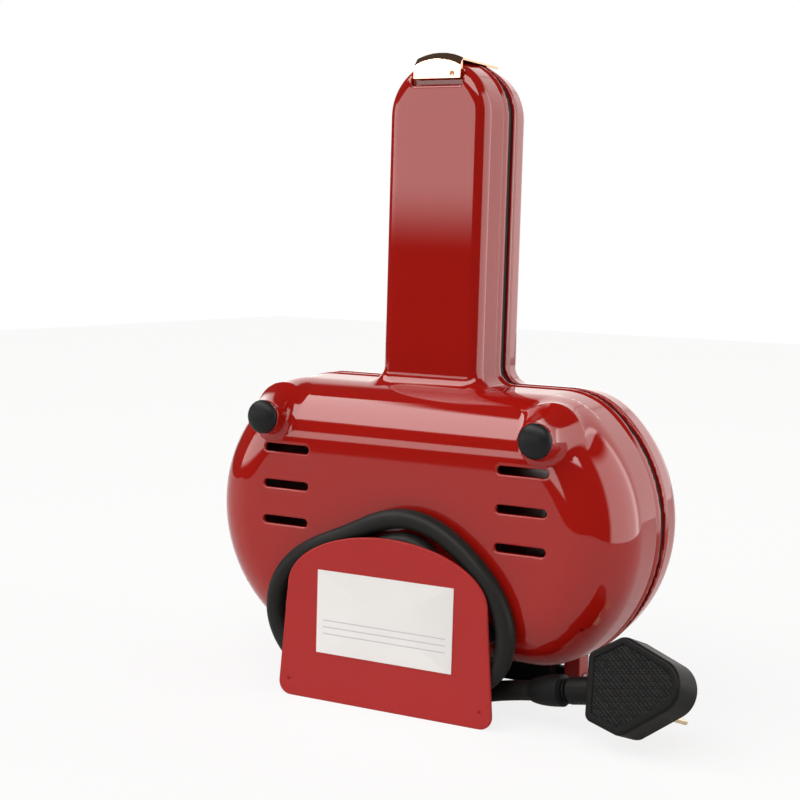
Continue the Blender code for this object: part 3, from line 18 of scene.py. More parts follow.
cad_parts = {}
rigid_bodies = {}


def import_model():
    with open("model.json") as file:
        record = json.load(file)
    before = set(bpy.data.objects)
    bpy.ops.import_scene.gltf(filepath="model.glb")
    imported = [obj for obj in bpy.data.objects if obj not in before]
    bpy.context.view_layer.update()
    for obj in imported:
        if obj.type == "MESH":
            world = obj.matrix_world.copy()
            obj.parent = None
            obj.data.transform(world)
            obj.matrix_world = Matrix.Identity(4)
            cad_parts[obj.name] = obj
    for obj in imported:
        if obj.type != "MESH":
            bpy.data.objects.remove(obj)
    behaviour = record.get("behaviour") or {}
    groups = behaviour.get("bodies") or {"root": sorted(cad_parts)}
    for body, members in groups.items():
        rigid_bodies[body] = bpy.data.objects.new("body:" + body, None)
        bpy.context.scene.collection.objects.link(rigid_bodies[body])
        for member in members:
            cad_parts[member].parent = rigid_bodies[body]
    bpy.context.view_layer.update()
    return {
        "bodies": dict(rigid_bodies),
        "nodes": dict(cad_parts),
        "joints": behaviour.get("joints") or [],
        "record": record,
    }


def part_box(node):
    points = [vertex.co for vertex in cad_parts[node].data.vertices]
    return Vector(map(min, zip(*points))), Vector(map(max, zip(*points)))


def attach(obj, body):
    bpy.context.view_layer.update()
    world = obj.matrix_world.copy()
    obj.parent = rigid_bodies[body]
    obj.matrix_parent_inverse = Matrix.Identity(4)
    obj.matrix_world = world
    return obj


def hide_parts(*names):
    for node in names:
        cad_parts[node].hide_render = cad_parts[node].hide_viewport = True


LOG = logging.getLogger("sandwich_maker")
MM = 0.001
Field = Callable[[np.ndarray, np.ndarray, np.ndarray], np.ndarray]


class Carrier(Enum):
    """The bodies that the pieces ride on."""

    BASE = "base"
    LID = "lid"
    LATCH = "latch"


class Side(Enum):
    """The two halves: the sign of Y that each lies towards."""

    LOWER = -1
    UPPER = 1


# Shader groups


def group_socket(
        tree: bpy.types.NodeTree, name: str, kind: str, way: str, value: float | None = None) -> None:
    """Add one socket to a node group's interface."""
    socket = tree.interface.new_socket(name=name, in_out=way, socket_type=kind)
    if value is not None:
        socket.default_value = value


def grain_group() -> bpy.types.NodeTree:
    """Node group: fine moulding grain over slow waviness, as one height.

    Returns:
        A group with inputs Scale, Waviness and Grain, and the output Height.
    """
    tree = bpy.data.node_groups.new("surface_grain", "ShaderNodeTree")
    for name, value in (("Scale", 900.0), ("Waviness", 0.5), ("Grain", 0.5)):
        group_socket(tree, name, "NodeSocketFloat", "INPUT", value)
    group_socket(tree, "Height", "NodeSocketFloat", "OUTPUT")
    nodes = tree.nodes
    links = tree.links
    start = nodes.new("NodeGroupInput")
    end = nodes.new("NodeGroupOutput")
    place = nodes.new("ShaderNodeTexCoord")
    fine = nodes.new("ShaderNodeTexNoise")
    fine.inputs["Detail"].default_value = 3.0
    links.new(place.outputs["Object"], fine.inputs["Vector"])
    links.new(start.outputs["Scale"], fine.inputs["Scale"])
    slow = nodes.new("ShaderNodeTexNoise")
    slow.inputs["Scale"].default_value = 28.0
    slow.inputs["Detail"].default_value = 1.0
    links.new(place.outputs["Object"], slow.inputs["Vector"])
    fine_part = nodes.new("ShaderNodeMath")
    fine_part.operation = "MULTIPLY"
    links.new(fine.outputs["Fac"], fine_part.inputs[0])
    links.new(start.outputs["Grain"], fine_part.inputs[1])
    both = nodes.new("ShaderNodeMath")
    both.operation = "MULTIPLY_ADD"
    links.new(slow.outputs["Fac"], both.inputs[0])
    links.new(start.outputs["Waviness"], both.inputs[1])
    links.new(fine_part.outputs[0], both.inputs[2])
    links.new(both.outputs[0], end.inputs["Height"])
    return tree


def spread_group() -> bpy.types.NodeTree:
    """Node group: a value that drifts slowly between two limits over the surface.

    Returns:
        A group with inputs Scale, Low and High, and the output Value.
    """
    tree = bpy.data.node_groups.new("slow_spread", "ShaderNodeTree")
    for name, value in (("Scale", 20.0), ("Low", 0.1), ("High", 0.2)):
        group_socket(tree, name, "NodeSocketFloat", "INPUT", value)
    group_socket(tree, "Value", "NodeSocketFloat", "OUTPUT")
    nodes = tree.nodes
    links = tree.links
    start = nodes.new("NodeGroupInput")
    end = nodes.new("NodeGroupOutput")
    place = nodes.new("ShaderNodeTexCoord")
    noise = nodes.new("ShaderNodeTexNoise")
    noise.inputs["Detail"].default_value = 4.0
    noise.inputs["Roughness"].default_value = 0.6
    links.new(place.outputs["Object"], noise.inputs["Vector"])
    links.new(start.outputs["Scale"], noise.inputs["Scale"])
    spread = nodes.new("ShaderNodeMapRange")
    spread.inputs["From Min"].default_value = 0.3
    spread.inputs["From Max"].default_value = 0.7
    links.new(noise.outputs["Fac"], spread.inputs["Value"])
    links.new(start.outputs["Low"], spread.inputs["To Min"])
    links.new(start.outputs["High"], spread.inputs["To Max"])
    links.new(spread.outputs["Result"], end.inputs["Value"])
    return tree


def tint_group() -> bpy.types.NodeTree:
    """Node group: a colour mottled with a second one by a noise mask.

    Returns:
        A group with inputs Scale, Colour and Second, and the output Colour.
    """
    tree = bpy.data.node_groups.new("mottled_tint", "ShaderNodeTree")
    group_socket(tree, "Scale", "NodeSocketFloat", "INPUT", 30.0)
    group_socket(tree, "Colour", "NodeSocketColor", "INPUT")
    group_socket(tree, "Second", "NodeSocketColor", "INPUT")
    group_socket(tree, "Colour", "NodeSocketColor", "OUTPUT")
    nodes = tree.nodes
    links = tree.links
    start = nodes.new("NodeGroupInput")
    end = nodes.new("NodeGroupOutput")
    place = nodes.new("ShaderNodeTexCoord")
    noise = nodes.new("ShaderNodeTexNoise")
    noise.inputs["Detail"].default_value = 5.0
    links.new(place.outputs["Object"], noise.inputs["Vector"])
    links.new(start.outputs["Scale"], noise.inputs["Scale"])
    mix = nodes.new("ShaderNodeMix")
    mix.data_type = "RGBA"
    links.new(noise.outputs["Fac"], mix.inputs["Factor"])
    links.new(start.outputs["Colour"], mix.inputs["A"])
    links.new(start.outputs["Second"], mix.inputs["B"])
    links.new(mix.outputs["Result"], end.inputs["Colour"])
    return tree


def brushed_group() -> bpy.types.NodeTree:
    """Node group: fine scratches that run along one direction, as a height.

    Returns:
        A group with inputs Along, Across and Up, the scales on the three axes, and the output Height.
    """
    tree = bpy.data.node_groups.new("brushed_lines", "ShaderNodeTree")
    for name, value in (("Along", 40.0), ("Across", 2500.0), ("Up", 2500.0)):
        group_socket(tree, name, "NodeSocketFloat", "INPUT", value)
    group_socket(tree, "Height", "NodeSocketFloat", "OUTPUT")
    nodes = tree.nodes
    links = tree.links
    start = nodes.new("NodeGroupInput")
    end = nodes.new("NodeGroupOutput")
    place = nodes.new("ShaderNodeTexCoord")
    scales = nodes.new("ShaderNodeCombineXYZ")
    for name, axis in (("Along", "X"), ("Across", "Y"), ("Up", "Z")):
        links.new(start.outputs[name], scales.inputs[axis])
    stretch = nodes.new("ShaderNodeVectorMath")
    stretch.operation = "MULTIPLY"
    links.new(place.outputs["Object"], stretch.inputs[0])
    links.new(scales.outputs[0], stretch.inputs[1])
    noise = nodes.new("ShaderNodeTexNoise")
    noise.inputs["Scale"].default_value = 1.0
    noise.inputs["Detail"].default_value = 2.0
    links.new(stretch.outputs[0], noise.inputs["Vector"])
    links.new(noise.outputs["Fac"], end.inputs["Height"])
    return tree


class Effects:
    """The shader groups that the finishes share, each built once."""

    def __init__(self) -> None:
        """Build the groups."""
        self.grain = grain_group()
        self.spread = spread_group()
        self.tint = tint_group()
        self.brushed = brushed_group()


@dataclass(frozen=True)
class Finish:
    """One surface finish.

    Colour and second are linear RGB; second mottles colour. Roughness drifts between its two values. Grain and
    waviness are shares of the bump's depth, and depth is in metres.
    """

    name: str
    colour: tuple[float, float, float]
    second: tuple[float, float, float]
    roughness: tuple[float, float]
    mottle_scale: float = 35.0
    spread_scale: float = 24.0
    grain_scale: float = 1400.0
    grain: float = 0.4
    waviness: float = 0.0
    depth: float = 0.00002
    metallic: float = 0.0
    coat: float = 0.0
    coat_roughness: float = 0.03
    sheen: float = 0.0
    transmission: float = 0.0
    ior: float = 1.5
    specular: float = 0.5
    brushed: bool = False

    def build(self, effects: Effects) -> bpy.types.Material:
        """Make the material.

        Args:
            effects: the shared shader groups.

        Returns:
            The material, with its own Principled shader.
        """
        material = bpy.data.materials.new(self.name)
        material.use_nodes = True
        material.diffuse_color = (*self.colour, 1.0)
        nodes = material.node_tree.nodes
        links = material.node_tree.links
        shader = nodes["Principled BSDF"]
        shader.inputs["Metallic"].default_value = self.metallic
        shader.inputs["IOR"].default_value = self.ior
        shader.inputs["Specular IOR Level"].default_value = self.specular
        shader.inputs["Coat Weight"].default_value = self.coat
        shader.inputs["Coat Roughness"].default_value = self.coat_roughness
        shader.inputs["Sheen Weight"].default_value = self.sheen
        shader.inputs["Transmission Weight"].default_value = self.transmission
        tint = nodes.new("ShaderNodeGroup")
        tint.node_tree = effects.tint
        tint.inputs["Scale"].default_value = self.mottle_scale
        tint.inputs["Colour"].default_value = (*self.colour, 1.0)
        tint.inputs["Second"].default_value = (*self.second, 1.0)
        links.new(tint.outputs["Colour"], shader.inputs["Base Color"])
        spread = nodes.new("ShaderNodeGroup")
        spread.node_tree = effects.spread
        spread.inputs["Scale"].default_value = self.spread_scale
        spread.inputs["Low"].default_value = self.roughness[0]
        spread.inputs["High"].default_value = self.roughness[1]
        links.new(spread.outputs["Value"], shader.inputs["Roughness"])
        relief = nodes.new("ShaderNodeGroup")
        if self.brushed:
            relief.node_tree = effects.brushed
        else:
            relief.node_tree = effects.grain
            relief.inputs["Scale"].default_value = self.grain_scale
            relief.inputs["Grain"].default_value = self.grain
            relief.inputs["Waviness"].default_value = self.waviness
        bump = nodes.new("ShaderNodeBump")
        bump.inputs["Distance"].default_value = self.depth
        bump.inputs["Strength"].default_value = 1.0
        links.new(relief.outputs["Height"], bump.inputs["Height"])
        links.new(bump.outputs["Normal"], shader.inputs["Normal"])
        return material


class Finishes:
    """Every finish of the object, by the place it is used in."""

    def __init__(self) -> None:
        """Build the materials."""
        effects = Effects()
        self.red_shell = Finish(
            "glossy_red_enamel", (0.350, 0.0072, 0.0040), (0.368, 0.0080, 0.0046), (0.30, 0.36),
            mottle_scale=60.0, grain=0.0, waviness=0.5, depth=0.00006, coat=1.0, coat_roughness=0.03, specular=0.0,
        ).build(effects)
        self.red_satin = Finish(
            "satin_red_enamel", (0.375, 0.016, 0.015), (0.40, 0.020, 0.018), (0.42, 0.50),
            mottle_scale=45.0, grain_scale=2600.0, grain=0.8, depth=0.00001, specular=0.3,
        ).build(effects)
        self.black_frame = Finish(
            "black_moulded_plastic", (0.008, 0.008, 0.008), (0.011, 0.011, 0.011), (0.30, 0.42),
            grain_scale=3200.0, grain=1.0, depth=0.000012, specular=0.06,
        ).build(effects)
        self.rubber = Finish(
            "black_rubber", (0.010, 0.011, 0.012), (0.014, 0.015, 0.016), (0.34, 0.46),
            grain_scale=2400.0, grain=1.0, depth=0.00002, specular=0.14,
        ).build(effects)
        self.cord = Finish(
            "black_cord_sheath", (0.013, 0.013, 0.012), (0.018, 0.018, 0.017), (0.40, 0.50),
            grain_scale=1800.0, grain=0.8, waviness=0.4, depth=0.00003, specular=0.12,
        ).build(effects)
        self.plug = Finish(
            "black_plug_moulding", (0.008, 0.008, 0.008), (0.011, 0.011, 0.011), (0.36, 0.46),
            grain_scale=2600.0, grain=1.0, depth=0.00002, specular=0.08,
        ).build(effects)
        self.rose_gold = Finish(
            "polished_rose_gold", (0.86, 0.50, 0.34), (0.88, 0.53, 0.37), (0.05, 0.10),
            grain=0.0, waviness=0.3, depth=0.00003, metallic=1.0,
        ).build(effects)
        self.steel = Finish(
            "zinc_plated_steel", (0.58, 0.58, 0.59), (0.50, 0.50, 0.52), (0.20, 0.34),
            depth=0.000006, metallic=1.0, brushed=True,
        ).build(effects)
        self.heater = Finish(
            "oxidised_heater_sheath", (0.20, 0.18, 0.16), (0.27, 0.22, 0.18), (0.40, 0.60),
            grain=0.8, depth=0.00002, metallic=1.0,
        ).build(effects)
        self.reflector = Finish(
            "bright_aluminium_sheet", (0.78, 0.78, 0.79), (0.70, 0.70, 0.72), (0.18, 0.30),
            depth=0.000008, metallic=1.0, brushed=True,
        ).build(effects)
        self.nonstick = Finish(
            "nonstick_coating", (0.018, 0.018, 0.020), (0.028, 0.028, 0.030), (0.30, 0.44),
            mottle_scale=900.0, grain_scale=1900.0, grain=0.8, waviness=0.4, depth=0.00003, coat=0.15, coat_roughness=0.3,
        ).build(effects)
        self.label = Finish(
            "plain_white_film", (0.80, 0.80, 0.79), (0.84, 0.84, 0.83), (0.36, 0.46),
            grain_scale=2500.0, grain=0.6, waviness=0.3, depth=0.00001,
        ).build(effects)
        self.rule = Finish(
            "pale_grey_rule", (0.50, 0.51, 0.54), (0.56, 0.57, 0.60), (0.40, 0.50), depth=0.000004,
        ).build(effects)
        self.nylon = Finish(
            "natural_nylon", (0.72, 0.66, 0.53), (0.78, 0.72, 0.60), (0.40, 0.52), depth=0.00001,
        ).build(effects)
        self.brass = Finish(
            "nickel_washed_brass", (0.84, 0.72, 0.50), (0.80, 0.66, 0.44), (0.16, 0.28),
            depth=0.000005, metallic=1.0, brushed=True,
        ).build(effects)
        self.wire = Finish(
            "brown_wire_cover", (0.14, 0.06, 0.03), (0.18, 0.08, 0.04), (0.40, 0.55), depth=0.00001,
        ).build(effects)
        self.red_lens = Finish(
            "clear_red_lens", (0.62, 0.02, 0.015), (0.68, 0.03, 0.02), (0.04, 0.07), grain=0.0, transmission=0.7, ior=1.49,
        ).build(effects)
        self.green_lens = Finish(
            "clear_green_lens", (0.03, 0.42, 0.08), (0.04, 0.48, 0.10), (0.04, 0.07), grain=0.0, transmission=0.7, ior=1.49,
        ).build(effects)


# Mesh makers


def add_piece(
    name: str,
    points: np.ndarray,
    faces: np.ndarray | list,
    material: bpy.types.Material,
    carrier: Carrier,
    stands_for: Sequence[str] = (),
    normals: np.ndarray | None = None,
    sharp_angle: float | None = 35.0,
) -> bpy.types.Object:
    """Make a piece from arrays, at the origin, and hang it on its body.

    Args:
        name: the piece's name.
        points: N by 3 places in metres.
        faces: index rows.
        material: its finish.
        carrier: the body that it rides on.
        stands_for: the CAD nodes that it replaces.
        normals: exact normals, one for each point.
        sharp_angle: edges above this many degrees shade sharp, where no normals are given.

    Returns:
        The new object.
    """
    mesh = bpy.data.meshes.new(name)
    rows = faces.tolist() if isinstance(faces, np.ndarray) else faces
    mesh.from_pydata(points.tolist(), [], rows)
    mesh.update()
    mesh.materials.append(material)
    mesh.shade_smooth()
    if normals is not None:
        mesh.normals_split_custom_set_from_vertices(normals.tolist())
    elif sharp_angle is not None:
        mesh.set_sharp_from_angle(angle=math.radians(sharp_angle))
    obj = bpy.data.objects.new(name, mesh)
    bpy.context.scene.collection.objects.link(obj)
    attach(obj, carrier.value)
    if stands_for:
        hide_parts(*stands_for)
    LOG.info("%s: %d faces on %s", name, len(mesh.polygons), carrier.value)
    return obj


def grid_faces(rows: int, columns: int, wrap_rows: bool, wrap_columns: bool) -> np.ndarray:
    """Quads of a grid of points, numbered row by row.

    Args:
        rows: points along the first parameter.
        columns: points along the second one.
        wrap_rows: whether the first parameter closes on itself.
        wrap_columns: whether the second one does.

    Returns:
        An array of quads.
    """
    first = np.arange(rows if wrap_rows else rows - 1)
    second = np.arange(columns if wrap_columns else columns - 1)
    a, b = np.meshgrid(first, second, indexing="ij")
    next_a = (a + 1) % rows
    next_b = (b + 1) % columns
    quads = np.stack(
        [a * columns + b, next_a * columns + b, next_a * columns + next_b, a * columns + next_b], -1)
    return quads.reshape(-1, 4)


def outward(points: np.ndarray, faces: list) -> list:
    """Turn a closed shape's faces over where its signed volume, the sum of its faces' cones, is negative."""
    volume = 0.0
    quads = np.array([face for face in faces if len(face) == 4])
    if len(quads):
        a, b, c, d = (points[quads[:, index]] for index in range(4))
        volume += np.einsum("ij,ij->i", a, np.cross(b, c) + np.cross(c, d)).sum()
    return faces if volume >= 0 else [list(reversed(face)) for face in faces]


def revolved(profile: np.ndarray, matrix: Matrix, sides: int = 48) -> tuple[np.ndarray, list]:
    """A turned closed solid.

    The place at (v, u) is the profile's point v, its radius turned by the angle u about the local Z.

    Args:
        profile: (radius, height) rows whose first and last radius are zero.
        matrix: places the local frame.
        sides: how many columns.

    Returns:
        Points and faces, with one point at each pole.
    """
    turn = np.linspace(0, 2 * np.pi, sides, endpoint=False)
    body = profile[1:-1]
    grid = np.stack(
        [body[:, :1] * np.cos(turn), body[:, :1] * np.sin(turn), np.repeat(body[:, 1:2], sides, 1)], -1
    ).reshape(-1, 3)
    poles = np.array([[0, 0, profile[0, 1]], [0, 0, profile[-1, 1]]])
    points = np.vstack([grid, poles])
    faces = grid_faces(len(body), sides, False, True).tolist()
    low = len(grid)
    last = (len(body) - 1) * sides
    faces += [[low, (step + 1) % sides, step] for step in range(sides)]
    faces += [[low + 1, last + step, last + (step + 1) % sides] for step in range(sides)]
    placed = points @ np.array(matrix.to_3x3()).T + np.array(matrix.to_translation())
    return placed, outward(placed, faces)


def tube_along(path: np.ndarray, radius: np.ndarray | float, sides: int = 28) -> tuple[np.ndarray, list]:
    """A round tube with flat closed ends.

    The place at (s, u) is the path's point s plus the radius times the angle u's direction in the plane across it.

    Args:
        path: N by 3 centre points, none of whose directions is along Y.
        radius: one radius, or one for each point.
        sides: how many columns.

    Returns:
        Points and faces.
    """
    forward = np.gradient(path, axis=0)
    forward /= np.linalg.norm(forward, axis=1, keepdims=True)
    aside = np.cross(forward, np.array([0.0, 1.0, 0.0]))
    aside /= np.linalg.norm(aside, axis=1, keepdims=True)
    up = np.cross(aside, forward)
    turn = np.linspace(0, 2 * np.pi, sides, endpoint=False)
    reach = np.broadcast_to(np.asarray(radius, float), (len(path),))[:, None, None]
    ring = aside[:, None, :] * np.cos(turn)[None, :, None] + up[:, None, :] * np.sin(turn)[None, :, None]
    points = (path[:, None, :] + reach * ring).reshape(-1, 3)
    faces = grid_faces(len(path), sides, False, True).tolist()
    last = (len(path) - 1) * sides
    faces.append(list(range(sides))[::-1])
    faces.append([last + step for step in range(sides)])
    return points, outward(points, faces)


def smooth_union(a: np.ndarray, b: np.ndarray, radius: np.ndarray | float) -> np.ndarray:
    """Two distances joined with a round fillet: a quarter circle of the radius across a square corner."""
    near_a = np.maximum(radius - a, 0)
    near_b = np.maximum(radius - b, 0)
    return np.maximum(radius, np.minimum(a, b)) - np.hypot(near_a, near_b)


def smooth_cut(a: np.ndarray, b: np.ndarray, radius: float) -> np.ndarray:
    """Distance a with b taken out of it, the lip rounded by the radius."""
    near_a = np.maximum(radius + a, 0)
    near_b = np.maximum(radius - b, 0)
    return np.minimum(-radius, np.maximum(a, -b)) + np.hypot(near_a, near_b)


def rounded_box(
        x: np.ndarray, y: np.ndarray, z: np.ndarray, half: Sequence[float], radius: float) -> np.ndarray:
    """Distance to a box about zero, with round edges."""
    across = [np.abs(value) - size + radius for value, size in zip((x, y, z), half)]
    outer = np.sqrt(sum(np.maximum(value, 0) ** 2 for value in across))
    inner = np.minimum(np.maximum(np.maximum(across[0], across[1]), across[2]), 0)
    return outer + inner - radius


def gradient_of(distance: Field, points: np.ndarray, reach: float) -> np.ndarray:
    """Slope of a distance at each point, by central differences."""
    slopes = []
    for axis in range(3):
        shift = np.zeros(3)
        shift[axis] = reach
        high = distance(*(points + shift).T)
        low = distance(*(points - shift).T)
        slopes.append((high - low) / (2 * reach))
    return np.stack(slopes, -1)


CORNERS = np.array([[i, j, k] for i in (0, 1) for j in (0, 1) for k in (0, 1)])
CELL_EDGES = [(a, b) for a in range(8) for b in range(a + 1, 8) if np.abs(CORNERS[a] - CORNERS[b]).sum() == 1]


def carved(
        distance: Field, axes: Sequence[np.ndarray],
        passes: int = 4) -> tuple[np.ndarray, np.ndarray, np.ndarray]:
    """The zero surface of a signed distance, which is negative inside.

    A grid of cells is laid over the space. A cell that the surface crosses gets one point, the mean of the
    crossings on its edges, and each grid edge that the surface crosses gets the quad of its four cells. The
    points then slide along the slope onto the surface itself.

    Args:
        distance: the shape, as a function of x, y and z arrays.
        axes: the grid's coordinates along X, Y and Z, which may be closer where there is detail.
        passes: how often the points slide.

    Returns:
        Points, quads and exact normals.
    """
    values = distance(*np.meshgrid(*axes, indexing="ij"))
    inside = values < 0
    count = sum(
        inside[i : inside.shape[0] - 1 + i, j : inside.shape[1] - 1 + j, k : inside.shape[2] - 1 + k].astype(
        np.int8) for i, j, k in CORNERS)
    active = (count > 0) & (count < 8)
    numbers = np.full(active.shape, -1, np.int64)
    cells = np.argwhere(active)
    numbers[active] = np.arange(len(cells))
    corner = cells[:, None, :] + CORNERS[None, :, :]
    held = values[corner[..., 0], corner[..., 1], corner[..., 2]]
    place = np.stack([axes[axis][corner[..., axis]] for axis in range(3)], -1)
    total = np.zeros((len(cells), 3))
    hits = np.zeros(len(cells))
    for a, b in CELL_EDGES:
        crossed = (held[:, a] < 0) != (held[:, b] < 0)
        gap = np.where(crossed, held[:, a] - held[:, b], 1.0)
        share = np.where(crossed, held[:, a] / gap, 0.0)[:, None]
        total += np.where(crossed[:, None], place[:, a] + share * (place[:, b] - place[:, a]), 0.0)
        hits += crossed
    points = total / hits[:, None]
    quads = []
    for axis in range(3):
        order = (axis, (axis + 1) % 3, (axis + 2) % 3)
        full = inside.transpose(order)
        named = numbers.transpose(order)
        low = full[:-1, 1:-1, 1:-1]
        high = full[1:, 1:-1, 1:-1]
        i, j, k = np.nonzero(low != high)
        quad = np.stack([named[i, j, k], named[i, j + 1, k], named[i, j + 1, k + 1], named[i, j, k + 1]], -1)
        turned_over = ~low[i, j, k]
        quad[turned_over] = quad[turned_over][:, ::-1]
        quads.append(quad)
    step = min(np.diff(values_on_axis).min() for values_on_axis in axes)
    for _ in range(passes):
        slope = gradient_of(distance, points, step / 50)
        size = np.maximum((slope**2).sum(1, keepdims=True), 0.05)
        move = distance(*points.T)[:, None] * slope / size
        length = np.linalg.norm(move, axis=1, keepdims=True)
        points -= move * np.minimum(1.0, step / 2 / np.maximum(length, 1e-12))
    normals = gradient_of(distance, points, step / 10)
    normals /= np.maximum(np.linalg.norm(normals, axis=1, keepdims=True), 1e-9)
    return points, np.vstack(quads), normals


def axis_points(
        low: float, high: float, step: float, fine: Sequence[tuple[float, float]] = (),
        small: float = 0.0) -> np.ndarray:
    """Coordinates from low to high about a step apart, and a smaller step apart in the fine stretches."""
    values = np.linspace(low, high, max(2, round((high - low) / step) + 1))
    for start, end in fine:
        values = values[(values < start - small / 2) | (values > end + small / 2)]
        values = np.concatenate([values, np.linspace(start, end, round((end - start) / small) + 1)])
    return np.unique(values)


# Sizes that the sub-assemblies share


@dataclass(frozen=True)
class Plan:
    """The outline that both halves share, seen along Y, in metres."""

    arc_place: float = 0.0287
    radius: float = 0.0573
    corner: float = 0.028
    half_height: float = 0.0497
    height: float = 0.067
    grip_half: float = 0.0211
    tip_height: float = 0.2146
    root_fillet: float = 0.0065
    rim_depth: float = 0.00245

    @property
    def body_top(self) -> float:
        """Height of the body's top edge."""
        return self.height + self.half_height

    @property
    def corner_centre(self) -> tuple[float, float]:
        """Where the corner arc's centre is, from the end arc's centre: both arcs share a tangent where they meet."""
        rise = self.half_height - self.corner
        return math.sqrt((self.radius - self.corner) ** 2 - rise**2), rise

    def radial(self, x: np.ndarray, z: np.ndarray) -> np.ndarray:
        """The end arcs' radius less the distance inside the body's outline.

        A place belongs to the end arc, to the flat top or bottom, or to the corner arc between them.
        """
        run = np.abs(x) - self.arc_place
        rise = np.abs(z - self.height)
        corner_run, corner_rise = self.corner_centre
        end = np.hypot(run, rise)
        flat = rise + self.radius - self.half_height
        corner = np.hypot(run - corner_run, rise - corner_rise) + self.radius - self.corner
        return np.where(run * corner_rise > rise * corner_run, end, np.where(run < corner_run, flat, corner))

    def grip_radial(self, x: np.ndarray, z: np.ndarray) -> np.ndarray:
        """Distance in plan from the handle's middle line."""
        return np.hypot(x, np.maximum(z - self.tip_height, 0) + np.maximum(self.height - z, 0))

    def outline(self, inset: float, spacing: float) -> tuple[np.ndarray, np.ndarray]:
        """The closed outline of body and handle, drawn in by the inset.

        It is made of arcs and straight runs, each sampled at the spacing: a half circle at the handle's tip,
        quarter circles at the two roots, and an end arc between two corner arcs at each end of the body.

        Args:
            inset: how far inside the rim.
            spacing: distance between samples.

        Returns:
            (x, z) points and the outward directions there.
        """
        root_x = self.grip_half + self.root_fillet
        root_z = self.body_top + self.root_fillet
        run, rise = self.corner_centre
        meet = math.degrees(math.atan2(rise, run))
        far = self.arc_place + run
        corner = self.corner - inset
        end = self.radius - inset
        arcs = (
            (0, self.tip_height, self.grip_half - inset, 0, 180, 1),
            (-root_x, root_z, self.root_fillet + inset, 0, -90, -1),
            (-far, self.height + rise, corner, 90, 180 - meet, 1),
            (-self.arc_place, self.height, end, 180 - meet, 180 + meet, 1),
            (-far, self.height - rise, corner, 180 + meet, 270, 1),
            (far, self.height - rise, corner, -90, -meet, 1),
            (self.arc_place, self.height, end, -meet, meet, 1),
            (far, self.height + rise, corner, meet, 90, 1),
            (root_x, root_z, self.root_fillet + inset, -90, -180, -1),
        )
        places = []
        ways = []
        for centre_x, centre_z, radius, start, end, sign in arcs:
            count = max(6, round(abs(math.radians(end - start)) * radius / spacing))
            turn = np.radians(np.linspace(start, end, count))
            way = np.stack([np.cos(turn), np.sin(turn)], -1)
            places.append(np.array([centre_x, centre_z]) + radius * way)
            ways.append(sign * way)
        for index, place in enumerate(places):
            gap = np.linalg.norm(places[(index + 1) % len(places)][0] - place[-1])
            if gap < spacing / 10:
                places[index] = place[:-1]
                ways[index] = ways[index][:-1]
        points = []
        normals = []
        for index, (place, way) in enumerate(zip(places, ways)):
            after = places[(index + 1) % len(places)][0]
            run = np.linalg.norm(after - place[-1])
            count = max(1, round(run / spacing))
            share = (np.arange(1, count) / count)[:, None]
            points += [place, place[-1] + share * (after - place[-1])]
            normals += [way, np.repeat(way[-1:], len(share), 0)]
        return np.vstack(points), np.vstack(normals)


@dataclass(frozen=True)
class Half:
    """One half of the case: its side and its depths from the parting plane."""

    side: Side
    depth: float
    rounding: float
    draft: float
    grip_depth: float
    grip_rounding: float = 0.0053
    grip_draft: float = 0.0011
    face_fillet: float = 0.0042
    wall: float = 0.002
    lip: float = 0.00028
    groove: float = 0.00055
    groove_depth: float = 0.0052
    groove_width: float = 0.0007


PLAN = Plan()
LOWER = Half(Side.LOWER, 0.0407, 0.0216, 0.0018, 0.0204)
UPPER = Half(Side.UPPER, 0.033, 0.0195, 0.0016, 0.0177)


def case_field(half: Half, x: np.ndarray, depth: np.ndarray, z: np.ndarray, inset: float = 0.0) -> np.ndarray:
    """Distance to a half's outer form, drawn in by the inset.

    Body and handle are each a rounded slab in the plane of plan distance and depth, and they meet in a fillet
    that is wider at the handle's sides than on its face.
    """

    def slab(radial: np.ndarray, reach: float, draft: float, far: float, rounding: float) -> np.ndarray:
        """A slab whose edge leans in by the draft and is rounded."""
        lean = draft * np.clip((depth - PLAN.rim_depth) / (far - PLAN.rim_depth), 0, 1)
        across = radial - (reach - lean - rounding)
        along = depth - (far - rounding)
        return np.hypot(
            np.maximum(across, 0), np.maximum(along, 0)) + np.minimum(np.maximum(across, along), 0) - rounding

    body = slab(PLAN.radial(x, z), PLAN.radius, half.draft, half.depth, half.rounding)
    grip = slab(PLAN.grip_radial(x, z), PLAN.grip_half, half.grip_draft, half.grip_depth, half.grip_rounding)
    inner = PLAN.grip_half * 0.75
    sideways = np.clip((np.abs(x) - inner) / (PLAN.grip_half - inner), 0, 1)
    fillet = half.face_fillet + (PLAN.root_fillet - half.face_fillet) * sideways**2 * (3 - 2 * sideways)
    return smooth_union(body, grip, fillet) + inset


def rim_relief(half: Half, depth: np.ndarray) -> np.ndarray:
    """How far the skin stands out near the rim: a rolled lip, and a shallow groove behind it."""
    lip = half.lip / (
        1 + np.exp((depth - half.groove_depth + 2 * half.groove_width) / (half.groove_width / 4)))
    groove = half.groove * np.exp(-(((depth - half.groove_depth) / half.groove_width) ** 2))
    return lip - groove


